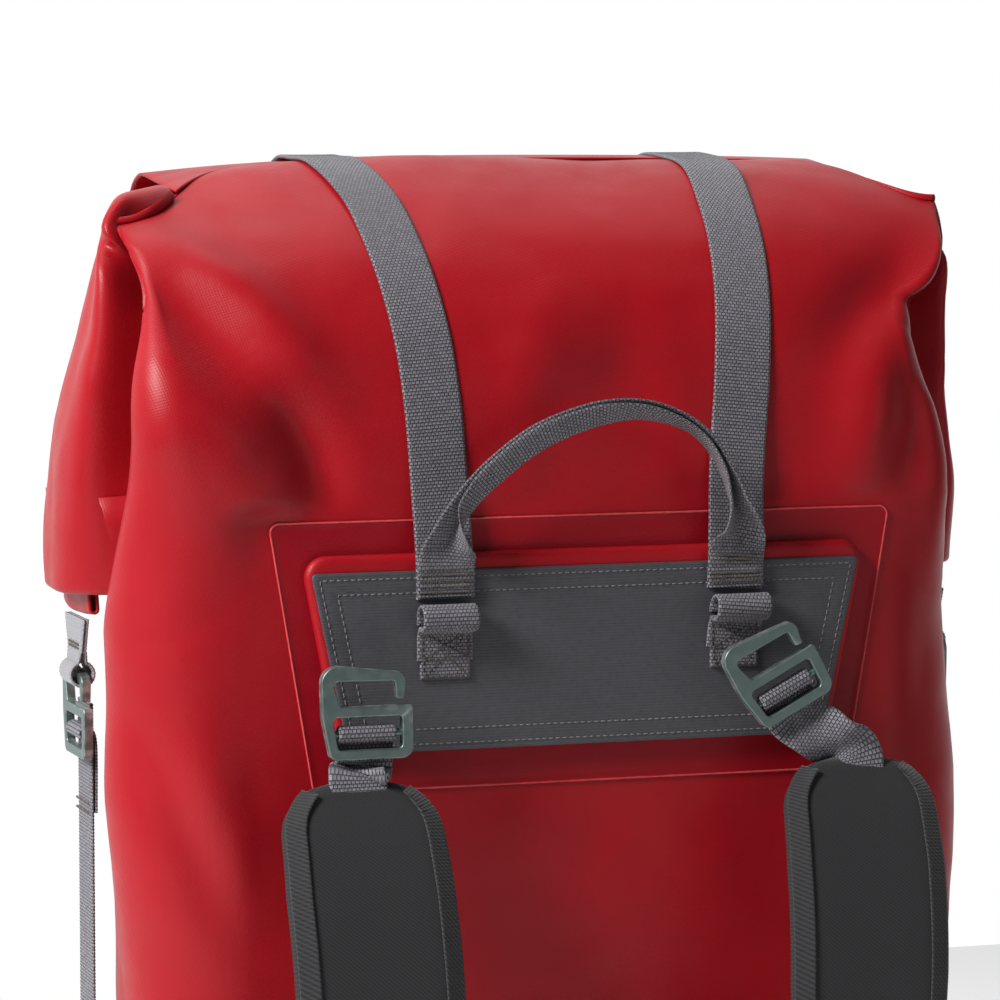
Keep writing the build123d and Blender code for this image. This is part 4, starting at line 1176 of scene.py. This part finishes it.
def make_shoulder_pad(name, side, top_x):
    line = smooth_path([(0, y, z) for y, z in PAD_SIDE_LINE], 2.5)
    share = np.linspace(0, 1, len(line))
    middle_x = side * SHOULDER_X + (top_x - side * SHOULDER_X) * share
    tangent = unit(np.gradient(line, axis=0))
    outward_dir = np.stack([np.zeros(len(line)), -tangent[:, 2], tangent[:, 1]], axis=1)
    ends = np.minimum(share, 1 - share) * path_length(line)
    end_reach = np.where(share > 0.5, PAD_TOP_ROUND, PAD_LOW_ROUND)
    rounding = np.sqrt(np.clip(1 - (1 - np.clip(ends / end_reach, 0, 1)) ** 2, 0.0, 1))
    squeeze = 0.34 + 0.66 * rounding
    columns = np.linspace(-1, 1, 41)
    front, back = [], []
    for c in columns:
        half = np.array([pad_half_width(z, c * side) for z in line[:, 2]]) * squeeze
        x = middle_x + c * half
        thick = PAD_THICK / 2 * (1 - abs(c) ** 7) ** 0.5 * np.clip(0.45 + ends / 7, 0, 1)
        dip = 0.9 * bump_curve(abs(c), 0.86, 0.035) + 0.35 * bump_curve(c, 0.0, 0.5)
        place = line + x[:, None] * np.array([1.0, 0, 0])
        front.append(place + outward_dir * (thick - dip * (thick > 2))[:, None])
        back.append(place - outward_dir * (thick - 0.3 * dip * (thick > 2))[:, None])
    grid = np.stack(front + back[::-1], axis=1)
    count = grid.shape[1]
    faces = tube_faces(len(line), count)
    pad = mesh_object(f"shoulder_pad_{name}_cover", grid.reshape(-1, 3), faces, FOAM_FACE)
    pad.data.materials.append(FOAM_MESH)
    for polygon in pad.data.polygons:
        if polygon.index % count >= len(columns):
            polygon.material_index = 1
    face_outwards(pad)
    belongs(pad, f"shoulder_strap_{name}", "black_foam", f"shoulder_pad_{name}")
    for k, column in enumerate((3, len(columns) - 4)):
        route = front[column][2:-2] + outward_dir[2:-2] * 0.55
        beyond, before = front[min(column + 3, len(columns) - 1)], front[max(column - 3, 0)]
        lateral_dir = unit(beyond - before)[2:-2]
        band = webbing(f"shoulder_pad_{name}_binding_{k + 1}", route, lateral_dir, 9.0, 0.9, BINDING)
        belongs(band, f"shoulder_strap_{name}", "black_foam")


def shoulder_hook_frame(x, z, tilt):
    lean = math.radians(tilt)
    along, up = (math.cos(lean), 0, math.sin(lean)), (-math.sin(lean), 0, math.cos(lean))
    return HookFrame((x, SHOULDER_HOOK_Y, z), along, up)


def make_shoulder_strap(name, side):
    *hook_place, top_x = SHOULDER_PLACES[name]
    hook = shoulder_hook_frame(*hook_place)
    make_shoulder_pad(name, side, top_x)
    wrap_path = smooth_path(hook.path(bar_wrap(9.0, 9.0)), 0.6)
    wrap = webbing(f"shoulder_webbing_{name}_wrap", wrap_path, hook.x, 24.6, 1.4)
    belongs(wrap, f"shoulder_strap_{name}", "webbing", f"shoulder_webbing_{name}")
    start = hook.at(0, HOOK_BAR_Y + WRAP_RADIUS + 0.8, HOOK_BAR_Z - 5)
    away = hook.at(0, HOOK_BAR_Y + WRAP_RADIUS + 1.4, HOOK_BAR_Z - 14)
    end = np.array([top_x, -99.5, 290.0])
    low = np.array([top_x - 0.5 * side, -106.5, 268.0])
    middle = 0.5 * (away + end) + np.array([0, -1.5 if side > 0 else 0, 0])
    halfway = 0.6 * hook.x + np.array([0.4, -0.5 * (side > 0), 0])
    turn = np.array([hook.x, hook.x, halfway, (1, 0, 0), (1, 0, 0)])
    route = smooth_path([start, away, middle, end, low], 1.0)
    web = webbing(f"shoulder_webbing_{name}_web", route, mean_rows(turn, route), 24.8, 2.8)
    belongs(web, f"shoulder_strap_{name}", "webbing")
    lower_line = [(-79.0, 35.4), (-82.5, 44.0), (-90.5, 56.3), (-100.0, 70.0), (-108.0, 86.0)]
    lower = smooth_path([(side * SHOULDER_X, y, z) for y, z in lower_line], 1.0)
    lower_web = webbing(f"lower_webbing_{name}_web", lower, (1, 0, 0), WEB_WIDTH, 2.8)
    belongs(lower_web, f"shoulder_strap_{name}", "webbing", f"lower_webbing_{name}")
    sewn_line = [(FRONT_Y - 1.4, 60.0), (FRONT_Y - 1.4, 36.0), (FRONT_Y - 3.0, 33.0), (-78.4, 32.4)]
    sewn_path = [(side * SHOULDER_X, y, z) for y, z in sewn_line]
    sewn = webbing(f"lower_anchor_{name}_web", sewn_path, (1, 0, 0), WEB_WIDTH, 2.6)
    belongs(sewn, BODY, "webbing", f"lower_anchor_{name}")


for side_name, side_sign in SIDES.items():
    make_shoulder_strap(side_name, side_sign)


# ---------------------------------------------------------------- side closure straps and tabs
SIDE_HOOK_X = 196.0
SIDE_HOOK_Y = 21.0
SIDE_HOOK_Z = 307.0


def side_frame(side):
    return HookFrame((side * SIDE_HOOK_X, SIDE_HOOK_Y, SIDE_HOOK_Z), (0, side, 0), (0, 0, 1))


def make_side_strap(name, side):
    hook = side_frame(side)
    drop = SIDE_HOOK_Z + HOOK_BAR_Z - 45.0
    wrap_path = smooth_path(hook.path(bar_wrap(drop, 34.0)), 1.0)
    wrap = webbing(f"side_strap_{name}_wrap", wrap_path, hook.x, 24.6, 1.1)
    belongs(wrap, f"side_strap_{name}", "webbing", f"side_strap_{name}")
    for index, z in enumerate((268.0, 264.0)):
        route = [[hook.at(x, 2.65 - 0.8, z - SIDE_HOOK_Z + up) for x, up in zigzag(-11, 11, 30, 0.5)]]
        tack = stitches(f"side_strap_{name}_tack_{index + 1}", route, (side, 0, 0), 1.05, 1.0, 0.3, TACK_THREAD)
        belongs(tack, f"side_strap_{name}", "webbing")
    x = side * HALF
    anchor_line = [(1.0, 80.0), (2.0, 62.0), (5.6, 46.0), (11.2, 38.6), (13.9, 42.6)]
    anchor_path = [(x + side * out, SIDE_HOOK_Y, z) for out, z in anchor_line]
    anchor = webbing(f"side_anchor_{name}_web", smooth_path(anchor_path, 1.0), (0, 1, 0), WEB_WIDTH, 2.0)
    belongs(anchor, BODY, "webbing", f"side_anchor_{name}")


def make_tab(name, side):
    """Grey tab: a doubled sheet out of the flap's end that narrows, then loops round the hook's arm."""
    hook = side_frame(side)
    eye_radius = 5.1
    route = [(0.75, 40.0), (0.75, 26.0), (0.9, HOOK_ARM_Z + 10)]
    route += [(y, HOOK_ARM_Z + z) for y, z in arc((0.0, 0.0), eye_radius, 70, -250, 10)]
    route += [(-0.9, HOOK_ARM_Z + 10), (-0.75, 26.0), (-0.75, 40.0)]
    knots = hook.path(route)
    widths = [2 * np.interp(z, (22.0, 36.0), (10.0, 17.5)) for _, z in route]
    packed = smooth_path(np.column_stack([knots, widths]), 0.8)
    tab = webbing(f"closure_tab_{name}_sheet", packed[:, :3], hook.x, packed[:, 3], 1.15, TAB)
    belongs(tab, BODY, "tab_fabric", f"closure_tab_{name}")
    rows = [[hook.at(x, -1.5, z + up) for x, up in zigzag(-9, 9, 22, 0.55)] for z in (27.2, 28.8)]
    tack = stitches(f"closure_tab_{name}_tack", rows, (side, 0, 0), 1.0, 0.95, 0.3, TACK_THREAD)
    belongs(tack, BODY, "tab_fabric")


for side_name, side_sign in SIDES.items():
    make_side_strap(side_name, side_sign)
    make_tab(side_name, side_sign)


# ---------------------------------------------------------------- rear hooks and their anchors
REAR_HOOK_Z = 425.0
REAR_HOOK_Y = 111.96


def make_rear_webbing(name, side):
    place = HookFrame((side * STRAP_TOP_X, REAR_HOOK_Y, REAR_HOOK_Z), (1, 0, 0), (0, 0, -1))
    across = np.array([1.0, 0.0, 0.0])
    wrap_path = smooth_path(place.path(bar_wrap(13.0, 14.0)), 1.0)
    wrap = webbing(f"top_hook_wrap_{name}_webbing", wrap_path, across)
    belongs(wrap, BODY, "webbing", f"top_hook_wrap_{name}")
    arm_z = REAR_HOOK_Z - HOOK_ARM_Z
    route = [(REAR_HOOK_Y - 5.1, arm_z - 9.0)] + arc((REAR_HOOK_Y, arm_z), 5.25, 190, -10, 12)
    route += [(REAR_HOOK_Y + 1.0, arm_z - 8.0), (BACK_Y + 3.6, 388.0), (BACK_Y + 2.4, 380.0)]
    anchor_path = smooth_path([(side * STRAP_TOP_X, y, z) for y, z in route], 1.0)
    anchor = webbing(f"top_anchor_{name}_webbing", anchor_path, across, width=20.0)
    belongs(anchor, BODY, "webbing", f"top_anchor_{name}")


for side_name, side_sign in SIDES.items():
    make_rear_webbing(side_name, side_sign)


# ---------------------------------------------------------------- finishes on the frame's own nodes
NODE_FINISH = {
    "hook": METAL, "strap_buckle": BUCKLE_METAL, "rack_hook": PLASTIC, "rack_lever": PLASTIC,
    "rack_rail": PLASTIC, "lower_rail": PLASTIC, "lower_slider": PLASTIC, "lower_hook": PLASTIC,
    "screws": STEEL, "tab": TAB,
}


def finish_nodes(frame_nodes, default):
    for name, obj in frame_nodes.items():
        chosen = default
        for word, material in NODE_FINISH.items():
            if word in name:
                chosen = material
        for index in range(max(1, len(obj.data.materials))):
            if len(obj.data.materials) <= index:
                obj.data.materials.append(chosen)
            obj.data.materials[index] = chosen


finish_nodes(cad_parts, WEBBING)


# ---------------------------------------------------------------- stage, lights and camera
def look_at(obj, target):
    direction = Vector(target) - obj.location
    obj.rotation_euler = direction.to_track_quat("-Z", "Y").to_euler()


def softbox(name, place, target, size, power):
    data = bpy.data.lights.new(name, "AREA")
    data.shape = "RECTANGLE"
    data.size, data.size_y = size
    data.energy = power
    light = bpy.data.objects.new(name, data)
    bpy.context.scene.collection.objects.link(light)
    light.location = place
    look_at(light, target)


def plain_floor():
    mesh = bpy.data.meshes.new("floor")
    reach = 0.9
    corners = [(-reach, -reach, 0), (reach, -reach, 0), (reach, reach, 0), (-reach, reach, 0)]
    mesh.from_pydata(corners, [], [(0, 1, 2, 3)])
    floor = bpy.data.objects.new("floor", mesh)
    bpy.context.scene.collection.objects.link(floor)
    material, tree, shader = new_material("pale_floor", (0.86, 0.86, 0.86), 0.9, specular=0.1)
    grain = noise_value(tree, coordinates(tree), 3.0)
    tree.links.new(ramp(tree, grain, [(0.3, (0.84,) * 3), (0.7, (0.88,) * 3)]), shader.inputs["Base Color"])
    mesh.materials.append(material)


def studio_world():
    """White behind the object, darker on the side of the front, like a studio with a lit backdrop."""
    world = bpy.data.worlds.new("studio")
    bpy.context.scene.world = world
    world.use_nodes = True
    tree = world.node_tree
    place = add(tree, "ShaderNodeTexCoord")
    split = add(tree, "ShaderNodeSeparateXYZ")
    tree.links.new(place.outputs["Generated"], split.inputs[0])
    lifted = math_node(tree, "MULTIPLY_ADD", split.outputs["Y"], 0.5)
    lifted.node.inputs[2].default_value = 0.5
    shade = ramp(tree, lifted, [(0.40, (0.07, 0.07, 0.075)), (0.84, (1.0, 1.0, 1.0))])
    tree.links.new(shade, tree.nodes["Background"].inputs["Color"])
    tree.nodes["Background"].inputs["Strength"].default_value = 1.0


plain_floor()
studio_world()

AIM = Vector((-0.0398, -0.078, 0.4003))
VIEW_TURN = math.radians(18.5)
VIEW_DISTANCE = 1.9
VIEW_RISE = 0.170
softbox("key", AIM + Vector((-1.75, -0.6, 1.2)), AIM, (0.6, 0.7), 80)
softbox("top", AIM + Vector((-0.2, 0.3, 1.5)), AIM, (1.4, 0.9), 8)
softbox("fill", AIM + Vector((1.5, -1.8, 0.2)), AIM, (1.0, 1.6), 4)

camera_data = bpy.data.cameras.new("camera")
camera_data.lens = 166.0
camera_data.sensor_width = 36.0
camera = bpy.data.objects.new("camera", camera_data)
bpy.context.scene.collection.objects.link(camera)
camera.location = AIM + Vector((-VIEW_DISTANCE * math.sin(VIEW_TURN), -VIEW_DISTANCE * math.cos(VIEW_TURN),
                                VIEW_RISE))
look_at(camera, AIM)
bpy.context.scene.camera = camera
bpy.context.scene.view_settings.view_transform = "Standard"
